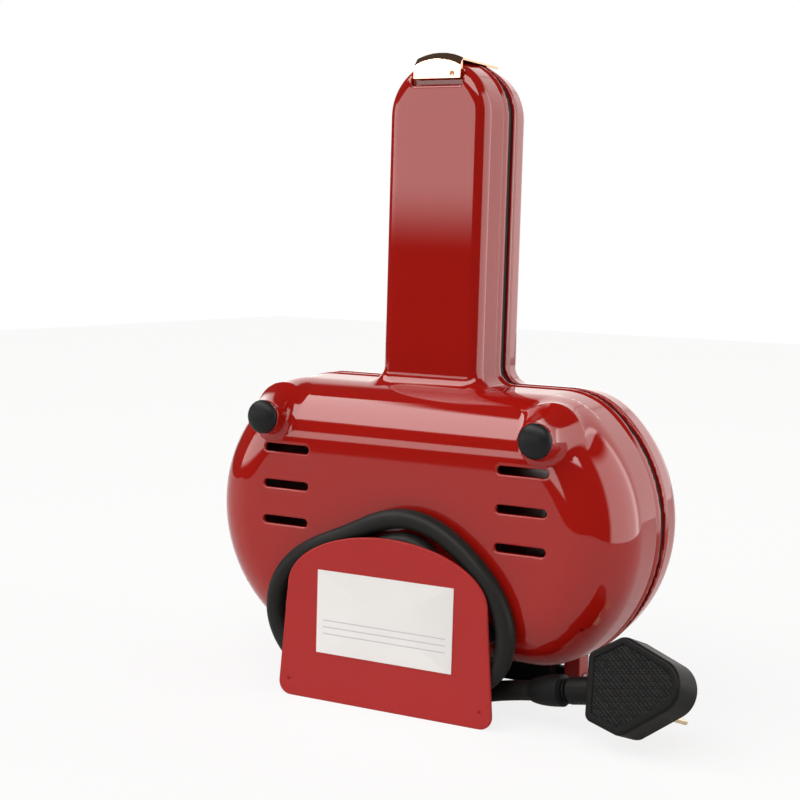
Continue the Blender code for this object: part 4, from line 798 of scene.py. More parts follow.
class CaseHalf:
    """A half of the case: the red skin with all that is moulded in it."""

    def __init__(self, half: Half, parting: float, finishes: Finishes) -> None:
        """Keep the half, the parting plane's Y and the finishes."""
        self.half = half
        self.parting = parting
        self.finishes = finishes

    def depth_of(self, y: np.ndarray) -> np.ndarray:
        """Depth from the parting plane at a world Y."""
        return self.half.side.value * (y - self.parting)

    def skin(self, x: np.ndarray, depth: np.ndarray, z: np.ndarray) -> np.ndarray:
        """The half's outside, before it is made hollow."""
        return case_field(self.half, x, depth, z) - rim_relief(self.half, depth)

    def hollow(
            self, outside: np.ndarray, x: np.ndarray, depth: np.ndarray, z: np.ndarray,
            solid: np.ndarray) -> np.ndarray:
        """The outside with its wall's thickness kept, open at the rim, and left full where solid is negative."""
        inside = case_field(self.half, x, depth, z, self.half.wall)
        inside = np.maximum(inside, -solid)
        shell = np.maximum(outside, -inside)
        return np.maximum(shell, PLAN.rim_depth - depth)


@dataclass(frozen=True)
class LatchSizes:
    """The latch clip, its recess and its notch, in metres."""

    half_width: float = 0.0094
    recess_half: float = 0.01025
    recess_floor: float = 0.225
    recess: float = 0.0025
    leg_end: float = 0.2276
    leg: float = 0.0022
    strip: float = 0.00095
    strip_gap: float = 0.00055
    axis_depth: float = 0.010
    axis_height: float = 0.2285
    knuckle: float = 0.0024
    notch_depth: float = 0.005
    notch_floor: float = 0.2243


LATCH = LatchSizes()


@dataclass
class LowerCase(CaseHalf):
    """The lower half's case, with foot bosses, vent slots and the latch recess."""

    half: Half
    parting: float
    finishes: Finishes
    foot_place: float = 0.0549
    foot_height: float = 0.1024
    boss_top: float = 0.046
    boss_radius: float = 0.0062
    boss_flare: float = 0.0026
    boss_length: float = 0.0093
    boss_fillet: float = 0.0026
    slot_place: float = 0.048
    slot_half: float = 0.00965
    slot_tall: float = 0.003
    slot_lowest: float = 0.0631
    slot_pitch: float = 0.0137
    slot_rows: int = 3
    slot_lip: float = 0.0006
    grid: float = 0.00115
    fine: float = 0.0004

    def field(self, x: np.ndarray, y: np.ndarray, z: np.ndarray) -> np.ndarray:
        """Distance to the whole shell."""
        depth = self.depth_of(y)
        outside = self.skin(x, depth, z)
        across = np.hypot(np.abs(x) - self.foot_place, z - self.foot_height)
        down = np.clip((self.boss_top - depth) / self.boss_length, 0, 1.5)
        side = across - self.boss_radius - self.boss_flare * down**2
        top = depth - self.boss_top
        edge = self.slot_lip
        boss = np.hypot(np.maximum(side + edge, 0), np.maximum(top + edge, 0)) + np.minimum(
            np.maximum(side, top) + edge, 0) - edge
        boss = np.maximum(boss, self.half.depth / 2 - depth)
        outside = smooth_union(outside, boss, self.boss_fillet)
        recess_x = np.abs(x) - LATCH.recess_half
        floor = self.half.grip_depth - LATCH.recess
        recess = np.maximum(np.maximum(recess_x, LATCH.recess_floor - z), floor - depth)
        pad = recess - self.half.wall
        shell = self.hollow(outside, x, depth, z, pad)
        shell = smooth_cut(shell, recess, self.slot_lip / 2)
        row = np.clip(np.round((z - self.slot_lowest) / self.slot_pitch), 0, self.slot_rows - 1)
        rise = z - self.slot_lowest - row * self.slot_pitch
        run = np.maximum(np.abs(np.abs(x) - self.slot_place) - (self.slot_half - self.slot_tall / 2), 0)
        slot = np.hypot(run, rise) - self.slot_tall / 2
        slot = np.maximum(slot, self.half.depth / 2 - depth)
        return smooth_cut(shell, slot, self.slot_lip)

    def build(self) -> None:
        """Make the shell."""
        low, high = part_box("lower_shell")
        pad = 4 * MM
        rim = self.parting - PLAN.rim_depth
        slot_rows = [self.slot_lowest + row * self.slot_pitch for row in range(self.slot_rows)]
        reach = self.slot_tall
        ends = [sign * self.slot_place + way * self.slot_half for sign in (-1, 1) for way in (-1, 1)]
        xs = axis_points(
            low[0] - pad, high[0] + pad, self.grid, [(end - reach / 2, end + reach / 2) for end in ends],
            self.fine)
        face = self.parting - self.half.depth
        ys = axis_points(
            low[1] - pad, rim + pad, self.grid, [
                (face - reach / 3, face + reach / 2), (rim - 2 * reach, rim + reach / 8)], self.fine)
        zs = axis_points(
            low[2] - pad, high[2] + pad, self.grid,
            [(row - 0.7 * reach, row + 0.7 * reach) for row in slot_rows], self.fine)
        points, quads, normals = carved(self.field, (xs, ys, zs))
        add_piece(
            "lower_shell_skin", points, quads, self.finishes.red_shell, Carrier.BASE, ["lower_shell"],
            normals)


@dataclass
class UpperCase(CaseHalf):
    """The lid's case, with hinge ears, lamp holes and the latch notch."""

    half: Half
    parting: float
    finishes: Finishes
    axis_depth: float = 0.016
    axis_height: float = 0.0044
    ear_radius: float = 0.0044
    ear_place: float = 0.04875
    ear_half: float = 0.00325
    ear_top: float = 0.0242
    ear_fillet: float = 0.0012
    bore: float = 0.0024
    lamp_place: float = 0.007
    lamp_height: float = 0.090
    lamp_hole: float = 0.0028
    lip: float = 0.0004
    grid: float = 0.00115
    fine: float = 0.0005

    def field(self, x: np.ndarray, y: np.ndarray, z: np.ndarray) -> np.ndarray:
        """Distance to the whole shell."""
        depth = self.depth_of(y)
        outside = self.skin(x, depth, z)
        rise = np.clip(z, self.axis_height, self.ear_top)
        round_foot = np.hypot(depth - self.axis_depth, z - rise) - self.ear_radius
        across = np.abs(np.abs(x) - self.ear_place) - self.ear_half
        ear = np.maximum(round_foot, across)
        outside = smooth_union(outside, ear, self.ear_fillet)
        notch = np.maximum(
            np.maximum(np.abs(x) - LATCH.recess_half, LATCH.notch_floor - z), LATCH.notch_depth - depth)
        shell = self.hollow(outside, x, depth, z, np.minimum(notch - self.half.wall, ear))
        shell = smooth_cut(shell, notch, self.lip)
        hole = np.hypot(np.abs(x) - self.lamp_place, z - self.lamp_height) - self.lamp_hole
        hole = np.maximum(hole, self.half.depth / 2 - depth)
        shell = smooth_cut(shell, hole, self.lip)
        pin = np.hypot(depth - self.axis_depth, z - self.axis_height) - self.bore
        return np.maximum(shell, -pin)

    def build(self) -> None:
        """Make the shell."""
        low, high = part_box("upper_shell")
        pad = 4 * MM
        rim = self.parting + PLAN.rim_depth
        reach = self.ear_radius
        xs = axis_points(
            low[0] - pad, high[0] + pad, self.grid,
            [(sign * self.ear_place - reach, sign * self.ear_place + reach) for sign in (-1, 1)]
            + [(-self.lamp_place - reach, self.lamp_place + reach)], self.fine)
        ys = axis_points(
            rim - pad, high[1] + pad, self.grid, [(rim - reach / 8, rim + 1.5 * reach)], self.fine)
        zs = axis_points(
            low[2] - pad, high[2] + pad, self.grid,
            [(-reach / 4, 2 * reach), (self.lamp_height - reach, self.lamp_height + reach)], self.fine)
        points, quads, normals = carved(self.field, (xs, ys, zs))
        add_piece(
            "upper_shell_skin", points, quads, self.finishes.red_shell, Carrier.LID, ["upper_shell"],
            normals)


@dataclass
class RimSeal:
    """The black moulding between the two rims: a rounded bead round each half's frame."""

    parting: float
    finishes: Finishes
    inset: float = 0.0026
    bulge: float = 0.0023
    gap: float = 0.00018
    far: float = 0.00236
    spacing: float = 0.0009
    sides: int = 20

    def ring(self, side: Side, proud: float) -> tuple[np.ndarray, np.ndarray]:
        """A closed bead along the whole outline.

        The place at (s, u) is the outline's point s, moved outwards and along Y by a flattened circle's point u.
        """
        outline, normals = PLAN.outline(self.inset, self.spacing)
        turn = np.linspace(0, 2 * np.pi, self.sides, endpoint=False)
        middle = (self.gap + self.far) / 2
        half = (self.far - self.gap) / 2
        power = 0.8
        out = proud * np.sign(np.cos(turn)) * np.abs(np.cos(turn)) ** power
        along = middle + half * np.sign(np.sin(turn)) * np.abs(np.sin(turn)) ** power
        x = outline[:, :1] + normals[:, :1] * out
        z = outline[:, 1:] + normals[:, 1:] * out
        y = np.broadcast_to(self.parting + side.value * along, x.shape)
        points = np.stack([x, y, z], -1).reshape(-1, 3)
        return points, grid_faces(len(outline), self.sides, True, True)

    def build(self) -> None:
        """Make both beads."""
        names = (
            (Side.LOWER, "lower_rim_seal", Carrier.BASE, self.bulge),
            (Side.UPPER, "upper_rim_seal", Carrier.LID, self.bulge * 0.82))
        for side, name, carrier, proud in names:
            points, quads = self.ring(side, proud)
            faces = outward(points, quads.tolist())
            add_piece(
                name, points, faces, self.finishes.black_frame, carrier,
                sharp_angle=None)


@dataclass
class LatchClip:
    """The polished clip over the handle's tip."""

    parting: float
    finishes: Finishes
    edge: float = 0.00035
    chamfer: float = 0.0024
    moon_radius: float = 0.0082
    moon_place: float = 0.0010
    moon_height: float = 0.2262
    dimple_place: float = 0.0062
    dimple_height: float = 0.2293
    dimple_radius: float = 0.00075
    grid: float = 0.00032

    def field(self, x: np.ndarray, y: np.ndarray, z: np.ndarray) -> np.ndarray:
        """Distance to the clip: a strip over the tip, a leg in front and a knuckle behind."""
        depth = self.parting - y
        radial = np.hypot(x, z - PLAN.tip_height)
        inner = PLAN.grip_half + LATCH.strip_gap
        outer = inner + LATCH.strip
        sides = np.abs(x) - LATCH.half_width
        front = depth - LOWER.grip_depth
        back = -depth - LATCH.axis_depth - LATCH.knuckle
        strip = np.maximum(np.maximum(radial - outer, inner - radial), np.maximum(front, back))
        leg = np.maximum(np.maximum(radial - outer, LATCH.leg_end - z), np.maximum(front, -front - LATCH.leg))
        slope = ((radial - outer + self.chamfer) + (front + self.chamfer * 0.8)) / math.sqrt(2)
        slope -= 0.0012
        moon = np.hypot(x - self.moon_place, z - self.moon_height) - self.moon_radius
        slope = np.minimum(slope, np.maximum(moon, front + self.edge * 1.5))
        metal = np.maximum(np.minimum(strip, leg), slope)
        metal = np.maximum(metal, sides)
        knuckle = np.hypot(depth + LATCH.axis_depth, z - LATCH.axis_height) - LATCH.knuckle
        knuckle = np.maximum(knuckle, sides)
        web = rounded_box(
            x, depth + LATCH.axis_depth + LATCH.knuckle / 4, z - (
                LATCH.axis_height + outer + PLAN.tip_height) / 2,
            (0.006, LATCH.knuckle * 0.75, (
                outer + PLAN.tip_height - LATCH.axis_height) / 2 - self.edge), self.edge)
        web = np.maximum(web, radial - outer)
        metal = smooth_union(smooth_union(metal, web, self.edge), knuckle, self.edge)
        dimple = np.sqrt(
            (x - self.dimple_place) ** 2 + (z - self.dimple_height) ** 2 + front**2) - self.dimple_radius
        metal = smooth_cut(metal, dimple, self.edge / 2)
        bore = np.hypot(depth + LATCH.axis_depth, z - LATCH.axis_height) - 0.00108
        return np.maximum(metal + self.edge, -bore) - self.edge

    def build(self) -> None:
        """Make the clip."""
        low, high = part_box("latch_clip")
        axes = [axis_points(low[axis] - MM, high[axis] + MM, self.grid) for axis in range(3)]
        points, quads, normals = carved(self.field, axes)
        add_piece(
            "latch_clip_polished", points, quads, self.finishes.rose_gold, Carrier.LATCH, ["latch_clip"],
            normals)


@dataclass
class Feet:
    """The two domed rubber feet."""

    finishes: Finishes
    radius: float = 0.0063
    stem_radius: float = 0.0039
    dome: float = 0.0030
    seat: float = 0.0379
    edge: float = 0.0004

    def build(self) -> None:
        """Make both feet: a stem, a cap with a straight side, and a dome that is a quarter ellipse."""
        for word in ("left", "right"):
            low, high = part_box(f"rubber_foot_{word}")
            turn = np.linspace(0, np.pi / 2, 14)
            cap = low[1] + self.dome + 0.0002
            dome = np.stack([self.radius * np.cos(turn), -(cap - self.dome * np.sin(turn))], -1)
            start = np.array([
                [0, -high[1]], [self.stem_radius, -high[1]], [self.stem_radius, self.seat],
                [self.radius - self.edge, self.seat], [self.radius, self.seat + self.edge]])
            profile = np.vstack([start, dome[:-1], [[0, dome[-1, 1]]]])
            centre = Vector(((low[0] + high[0]) / 2, 0, (low[2] + high[2]) / 2))
            place = Matrix.Translation(centre) @ Matrix.Rotation(math.radians(90), 4, "X")
            points, faces = revolved(profile, place)
            add_piece(
                f"foot_cap_{word}", points, faces, self.finishes.rubber, Carrier.BASE,
                [f"rubber_foot_{word}"])


@dataclass
class WrapPlate:
    """The satin plate that holds the wound cord, its post and its bare label."""

    parting: float
    finishes: Finishes
    foot_half: float = 0.04395
    corner: float = 0.0053
    half: float = 0.0406
    shoulder: float = 0.042
    arch: float = 0.021
    thickness: float = 0.0012
    edge: float = 0.0004
    pip_place: float = 0.039
    pip_height: float = 0.006
    pip_radius: float = 0.0007
    post_half: float = 0.026
    post_tall: float = 0.0115
    post_height: float = 0.0355
    grid: float = 0.0008
    fine: float = 0.0003

    def sheet_distance(self, x: np.ndarray, z: np.ndarray) -> np.ndarray:
        """Distance in plan to the plate: a foot with leaning sides, and a half ellipse above the shoulder."""
        lean = (self.foot_half - self.half) / self.shoulder
        side = (np.abs(x) - self.foot_half + lean * z) / math.hypot(1, lean)
        bottom = -z
        across = side + self.corner
        down = bottom + self.corner
        foot = np.hypot(
            np.maximum(across, 0),
            np.maximum(down, 0)) + np.minimum(np.maximum(across, down), 0) - self.corner
        rise = np.maximum(z - self.shoulder, 0)
        level = np.sqrt((x / self.half) ** 2 + (rise / self.arch) ** 2)
        slope = np.sqrt((x / self.half**2) ** 2 + (rise / self.arch**2) ** 2) / np.maximum(level, 1e-6)
        arch = (level - 1) / np.maximum(slope, 1e-6)
        return np.where(z > self.shoulder, arch, foot)

    def field(self, x: np.ndarray, y: np.ndarray, z: np.ndarray) -> np.ndarray:
        """Distance to the plate, with round edges and two small pips."""
        low, high = self.span
        flat = self.sheet_distance(x, z)
        middle = np.abs(y - (low + high) / 2) - (high - low) / 2
        across = flat + self.edge
        along = middle + self.edge
        plate = np.hypot(
            np.maximum(across, 0),
            np.maximum(along, 0)) + np.minimum(np.maximum(across, along), 0) - self.edge
        pip = np.sqrt(
            (np.abs(x) - self.pip_place) ** 2 + (z - self.pip_height) ** 2 + (y - low) ** 2) - self.pip_radius
        return smooth_cut(plate, pip, self.edge / 2)

    def build(self) -> None:
        """Make plate, post and label."""
        low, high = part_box("cord_wrap_plate")
        self.span = (low[1], high[1])
        xs = axis_points(low[0] - MM, high[0] + MM, self.grid)
        ys = axis_points(low[1] - MM, high[1] + MM, self.fine)
        zs = axis_points(low[2] - MM, high[2] + MM, self.grid)
        points, quads, normals = carved(self.field, (xs, ys, zs))
        add_piece(
            "wrap_plate_satin", points, quads, self.finishes.red_satin, Carrier.BASE, ["cord_wrap_plate"],
            normals)
        self.build_post()
        self.build_label()

    def build_post(self) -> None:
        """The oval post: ellipses carried from the shell's face to the plate, closed by a small inner ring."""
        low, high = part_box("cord_wrap_post")
        turn = np.linspace(0, 2 * np.pi, 96, endpoint=False)
        depth_share = np.linspace(0, 1, 6)
        rows = []
        for share, shrink in ((0.0, 0.02), *((value, 1.0) for value in depth_share), (1.0, 0.02)):
            y = low[1] + share * (high[1] - low[1])
            rows.append(np.stack([
                self.post_half * shrink * np.cos(turn), np.full_like(turn, y),
                self.post_height + self.post_tall * shrink * np.sin(turn)], -1))
        points = np.vstack(rows)
        faces = grid_faces(len(rows), len(turn), False, True).tolist()
        faces.append(list(range(len(turn)))[::-1])
        faces.append([(len(rows) - 1) * len(turn) + step for step in range(len(turn))])
        add_piece(
            "wrap_post_satin", points, outward(points, faces), self.finishes.red_satin, Carrier.BASE,
            ["cord_wrap_post"])

    def build_label(self) -> None:
        """The bare white film, whose edges lift a little less than a hair, and faint blank form rules on it."""
        low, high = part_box("rating_label")
        width = (high[0] - low[0]) / 2
        tall = (high[2] - low[2]) / 2
        centre = ((low[0] + high[0]) / 2, (low[2] + high[2]) / 2)
        turn = np.linspace(0, 2 * np.pi, 96, endpoint=False)
        way_x = np.clip(np.cos(turn) * 1.42, -1, 1)
        way_z = np.clip(np.sin(turn) * 1.42, -1, 1)
        rows = []
        for share, y in (
            (0.02, high[1]), (1.0, high[1]), (1.0, low[1] + 0.00008), (0.995, low[1]), (0.02, low[1])):
            x = centre[0] + way_x * width * share
            z = centre[1] + way_z * tall * share
            rows.append(np.stack([x, np.full_like(turn, y), z], -1))
        points = np.vstack(rows)
        faces = grid_faces(len(rows), len(turn), False, True).tolist()
        faces.append(list(range(len(turn)))[::-1])
        faces.append([(len(rows) - 1) * len(turn) + step for step in range(len(turn))])
        add_piece(
            "bare_label", points, outward(points, faces), self.finishes.label, Carrier.BASE, ["rating_label"])
        rule = 0.00018
        for number, height in enumerate((0.24, 0.32, 0.40)):
            z = low[2] + height * 2 * tall
            half = width * 0.90
            corners = np.array([
                [sx * half + centre[0], y, z + sz * rule] for y in (low[1] - 0.00002, low[1] + 0.0001) for sx,
                sz in ((-1, -1), (1, -1), (1, 1), (-1, 1))])
            quads = [[0, 1, 2, 3], [4, 7, 6, 5], [0, 4, 5, 1], [1, 5, 6, 2], [2, 6, 7, 3], [3, 7, 4, 0]]
            add_piece(
                f"label_rule_{number + 1}", corners, outward(corners, quads), self.finishes.rule,
                Carrier.BASE)


@dataclass
class MainsCord:
    """The cord: wound on the post, then led along the floor to the plug."""

    parting: float
    finishes: Finishes
    radius: float = 0.0036
    depth: float = 0.0445
    loop_height: float = 0.032
    loop_radius: float = 0.0384
    waves_cos: tuple[float, ...] = (-0.0002, 0.0073, -0.0013, 0.0015)
    waves_sin: tuple[float, ...] = (0.0038, 0.0006, -0.0012, -0.0006)
    step: float = 0.0082
    left_step: float = 0.0045
    start_step: float = 0.006
    start_angle: float = 21.0
    start_blend: float = 60.0
    cross_start: float = 292.0
    cross_end: float = 352.0
    end_angle: float = 607.0
    clearance: float = 0.0003
    samples: int = 420
    lead_route: tuple[tuple[float, float, float], ...] = (
        (0.0070, -0.0435, 0.0039),
        (0.0149, -0.0409, 0.0046),
        (0.0224, -0.0377, 0.0060),
        (0.0301, -0.0349, 0.0079),
        (0.0380, -0.0334, 0.0098),
    )

    def winding(self, angle: np.ndarray) -> np.ndarray:
        """Centre of the cord at an angle in degrees along the winding.

        The radius is a mean with four waves, less a step that shrinks to nothing where the strand crosses out.
        """
        turn = np.radians(angle)
        radius = np.full_like(turn, self.loop_radius)
        for order, (cosine, sine) in enumerate(zip(self.waves_cos, self.waves_sin), start=1):
            radius += cosine * np.cos(order * turn) + sine * np.sin(order * turn)
        crossed = ease((angle - self.cross_start) / (self.cross_end - self.cross_start))
        leftness = ((1 - np.cos(turn)) / 2) ** 3
        start = 1 - ease((angle - self.start_angle) / self.start_blend)
        radius -= (self.step + self.left_step * leftness + self.start_step * start) * (1 - crossed)
        y = np.full_like(turn, self.parting - self.depth)
        return np.stack([radius * np.cos(turn), y, self.loop_height + radius * np.sin(turn)], -1)

    def path(self, relief_end: np.ndarray, relief_way: np.ndarray) -> np.ndarray:
        """The whole centre line, from the gland to the strain relief."""
        angle = np.linspace(self.start_angle, self.end_angle, self.samples)
        wound = self.winding(angle)
        tip = np.array([self.start_angle, self.start_angle + 1])
        first = self.winding(tip)
        back = (first[0] - first[1]) / np.linalg.norm(first[0] - first[1])
        start = wound[0] + 2 * self.radius * back
        route = np.array(self.lead_route) + np.array([0, self.parting, 0])
        tail = relief_end + relief_way * 2 * self.radius
        knots = np.vstack([wound[-24:-1:8], route, tail, relief_end])
        lead = smooth_through(knots, 14)
        join = np.linalg.norm(lead - wound[-8], axis=1).argmin()
        whole = np.vstack([start[None], wound[:-8], lead[join + 1 :]])
        return evenly(whole, 0.0012)

    def build(
            self, relief_end: np.ndarray, relief_way: np.ndarray, on_it: Sequence[bpy.types.Object]) -> None:
        path = self.path(relief_end, relief_way)
        points, faces = tube_along(path, self.radius)
        cord = add_piece(
            "mains_cord", points, faces, self.finishes.cord, Carrier.BASE, ["cord_winding", "cord_lead"],
            sharp_angle=None)


def ease(share: np.ndarray) -> np.ndarray:
    """A smooth step from 0 to 1."""
    share = np.clip(share, 0, 1)
    return share * share * (3 - 2 * share)


def smooth_through(knots: np.ndarray, steps: int) -> np.ndarray:
    """Points on a curve whose pieces are cubics through the knots, with slopes from the neighbours."""
    ends = np.vstack([2 * knots[0] - knots[1], knots, 2 * knots[-1] - knots[-2]])
    before, start, end, after = ends[:-3, None], ends[1:-2, None], ends[2:-1, None], ends[3:, None]
    share = (np.arange(steps) / steps)[None, :, None]
    bend = 2 * before - 5 * start + 4 * end - after
    twist = 3 * start - before - 3 * end + after
    curve = start + share * (end - before) / 2 + share**2 * bend / 2 + share**3 * twist / 2
    return np.vstack([curve.reshape(-1, 3), knots[-1]])


def evenly(path: np.ndarray, spacing: float) -> np.ndarray:
    """The same path with points an even distance apart."""
    run = np.concatenate([[0], np.cumsum(np.linalg.norm(np.diff(path, axis=0), axis=1))])
    at = np.linspace(0, run[-1], round(run[-1] / spacing) + 1)
    return np.stack([np.interp(at, run, path[:, axis]) for axis in range(3)], -1)


@dataclass
class Plug:
    """The moulded plug, its strain relief and its pins, in the plug's own frame: X to the tip, Y to the pins."""

    parting: float
    finishes: Finishes
    origin: tuple[float, float, float] = (0.0761, -0.0452, 0.0208)
    turn: tuple[float, float, float] = (-20.3, -11.0, -9.9)
    thickness: float = 0.0133
    length: float = 0.0357
    end_half: float = 0.0112
    shoulder: float = 0.014
    shoulder_half: float = 0.017
    tip_radius: float = 0.0095
    edge: float = 0.0013
    corner: float = 0.0018
    rim: float = 0.0027
    sunk: float = 0.0006
    diamond: float = 0.0017
    diamond_depth: float = 0.00028
    neck_radius: float = 0.0048
    collar_radius: float = 0.0056
    end_radius: float = 0.0042
    neck: float = 0.0095
    groove: float = 0.0028
    collar: float = 0.0125
    entry_drop: float = 0.0008
    clearance: float = 0.0003
    mouth: float = 0.0038
    grid: float = 0.00036
    pins: tuple[tuple[str, float, float, float], ...] = (
        ("earth", 0.0105, 0.0, 0.0), ("left", 0.0205, -0.0069, 30.0), ("right", 0.0205, 0.0069, -30.0))
    pin_width: float = 0.0063
    pin_thickness: float = 0.0016
    pin_root: float = 0.004
    pin_length: float = 0.017

    def matrix(self) -> Matrix:
        """The plug's frame in the world."""
        place = Vector(self.origin) + Vector((0, self.parting, 0))
        return Matrix.Translation(place) @ Euler(
            [math.radians(angle) for angle in self.turn]).to_matrix().to_4x4()

    def outline_distance(self, x: np.ndarray, w: np.ndarray) -> np.ndarray:
        """Distance to the outline: straight flanks to the shoulders, straight to the tip, and a round tip."""
        w = np.abs(w)
        flank = np.array([self.end_half - self.shoulder_half, self.shoulder])
        flank /= np.linalg.norm(flank)
        first = flank[0] * x + flank[1] * (w - self.end_half)
        tip = self.length - self.tip_radius
        away = math.hypot(tip - self.shoulder, self.shoulder_half)
        slope = math.atan2(self.shoulder_half, tip - self.shoulder)
        tangent = math.pi - slope - math.acos(self.tip_radius / away)
        second = math.cos(tangent) * (x - tip) + math.sin(tangent) * w - self.tip_radius
        nose = np.hypot(x - tip, w) - self.tip_radius
        sector = np.arctan2(w, x - tip) < tangent
        flanks = smooth_cut(smooth_cut(first, -second, self.corner), x, self.corner)
        return np.where(sector, nose, flanks)

    def field(self, x: np.ndarray, y: np.ndarray, z: np.ndarray) -> np.ndarray:
        """Distance to the body: a slab with round edges, and a sunk back panel with a diamond grip."""
        flat = self.outline_distance(x, z)
        middle = np.abs(y - self.thickness / 2) - self.thickness / 2
        across = flat + self.edge
        along = middle + self.edge
        body = np.hypot(
            np.maximum(across, 0),
            np.maximum(along, 0)) + np.minimum(np.maximum(across, along), 0) - self.edge
        one = np.abs(np.mod((x + z) / self.diamond, 1) - 0.5) * 2
        other = np.abs(np.mod((x - z) / self.diamond, 1) - 0.5) * 2
        relief = self.diamond_depth * np.minimum(one, other)
        panel = np.maximum(flat + self.rim, y - self.sunk + relief)
        return smooth_cut(body, panel, self.sunk / 2)

    def build(self) -> tuple[np.ndarray, np.ndarray, list[bpy.types.Object]]:
        """Make body, relief and pins.

        Returns:
            Where the cord meets the relief, the way from there along the cord, and the pieces.
        """
        place = np.array(self.matrix().to_3x3())
        shift = np.array(self.matrix().to_translation())
        axes = (
            axis_points(-MM, self.length + MM, self.grid),
            axis_points(-MM, self.thickness + MM, self.grid),
            axis_points(-self.shoulder_half - MM, self.shoulder_half + MM, self.grid))
        points, quads, normals = carved(self.field, axes)
        made = [add_piece(
            "plug_moulding", points @ place.T + shift, quads, self.finishes.plug, Carrier.BASE, ["plug_body"],
            normals @ place.T)]
        entry = np.array([-self.clearance, self.thickness / 2, -self.entry_drop])
        away = np.array([-1.0, 0, 0])
        total = self.neck + self.groove + self.collar
        made.append(self.build_relief(entry, total))
        for name, along, across, slant in self.pins:
            made.append(self.build_pin(name, along, across, slant))
        end = (entry + away * (total + self.clearance)) @ place.T + shift
        return end, away @ place.T, made

    def build_relief(self, entry: np.ndarray, total: float) -> bpy.types.Object:
        """The strain relief: a neck, a ribbed waist and a collar that tapers to the cord, as one turned form."""
        rows = [
            (0, 0), (self.neck_radius - 0.0003, 0), (self.neck_radius, 0.0004),
            (self.neck_radius, self.neck - 0.0004)]
        rows.append((self.neck_radius - 0.0004, self.neck))
        ribs = 2
        for rib in range(ribs):
            start = self.neck + self.groove * rib / ribs
            rows += [
                (self.end_radius - 0.0006, start + self.groove * 0.12),
                (self.end_radius - 0.0006, start + self.groove * 0.22)]
            rows += [
                (self.end_radius + 0.0004, start + self.groove * 0.32),
                (self.end_radius + 0.0004, start + self.groove * 0.42)]
        waist = self.neck + self.groove
        rows += [(self.collar_radius - 0.0005, waist), (self.collar_radius, waist + 0.0005)]
        for share in np.linspace(0.15, 1.0, 9):
            bulge = self.end_radius + (self.collar_radius - self.end_radius) * (1 - share**3)
            rows.append((bulge, waist + share * self.collar))
        rows += [(self.mouth, total), (0, total)]
        place = self.matrix() @ Matrix.Translation(Vector(entry)) @ Matrix.Rotation(math.radians(-90), 4, "Y")
        points, faces = revolved(np.array(rows, float), place)
        return add_piece(
            "plug_relief", points, faces, self.finishes.plug, Carrier.BASE, ["plug_strain_relief"])

    def build_pin(self, name: str, along: float, across: float, slant: float) -> bpy.types.Object:
        """A flat pin: rounded rectangles carried along Y, drawn in at the tip and closed at both ends."""
        turn = np.linspace(0, 2 * np.pi, 40, endpoint=False)
        power = 0.22
        half_w = self.pin_width / 2
        half_t = self.pin_thickness / 2
        ring_x = half_w * np.sign(np.cos(turn)) * np.abs(np.cos(turn)) ** power
        ring_z = half_t * np.sign(np.sin(turn)) * np.abs(np.sin(turn)) ** power
        start = self.thickness - self.pin_root
        end = self.thickness + self.pin_length
        rows = []
        for y, wide, thick in (
            (start, 0.98, 0.96), (start + 0.0002, 1, 1), (end - 0.0022, 1, 1), (end - 0.0012, 0.97, 0.90),
            (end - 0.0004, 0.88, 0.66), (end, 0.74, 0.40)):
            rows.append(np.stack([ring_x * wide, np.full_like(turn, y), ring_z * thick], -1))
        points = np.vstack(rows)
        faces = grid_faces(len(rows), len(turn), False, True).tolist()
        faces.append(list(range(len(turn)))[::-1])
        faces.append([(len(rows) - 1) * len(turn) + step for step in range(len(turn))])
        local = self.matrix() @ Matrix.Translation((along, 0, across)) @ Matrix.Rotation(
            math.radians(slant), 4, "Y")
        placed = points @ np.array(local.to_3x3()).T + np.array(local.to_translation())
        return add_piece(
            f"pin_blade_{name}", placed, outward(placed, faces), self.finishes.brass, Carrier.BASE,
            [f"plug_pin_{name}"])


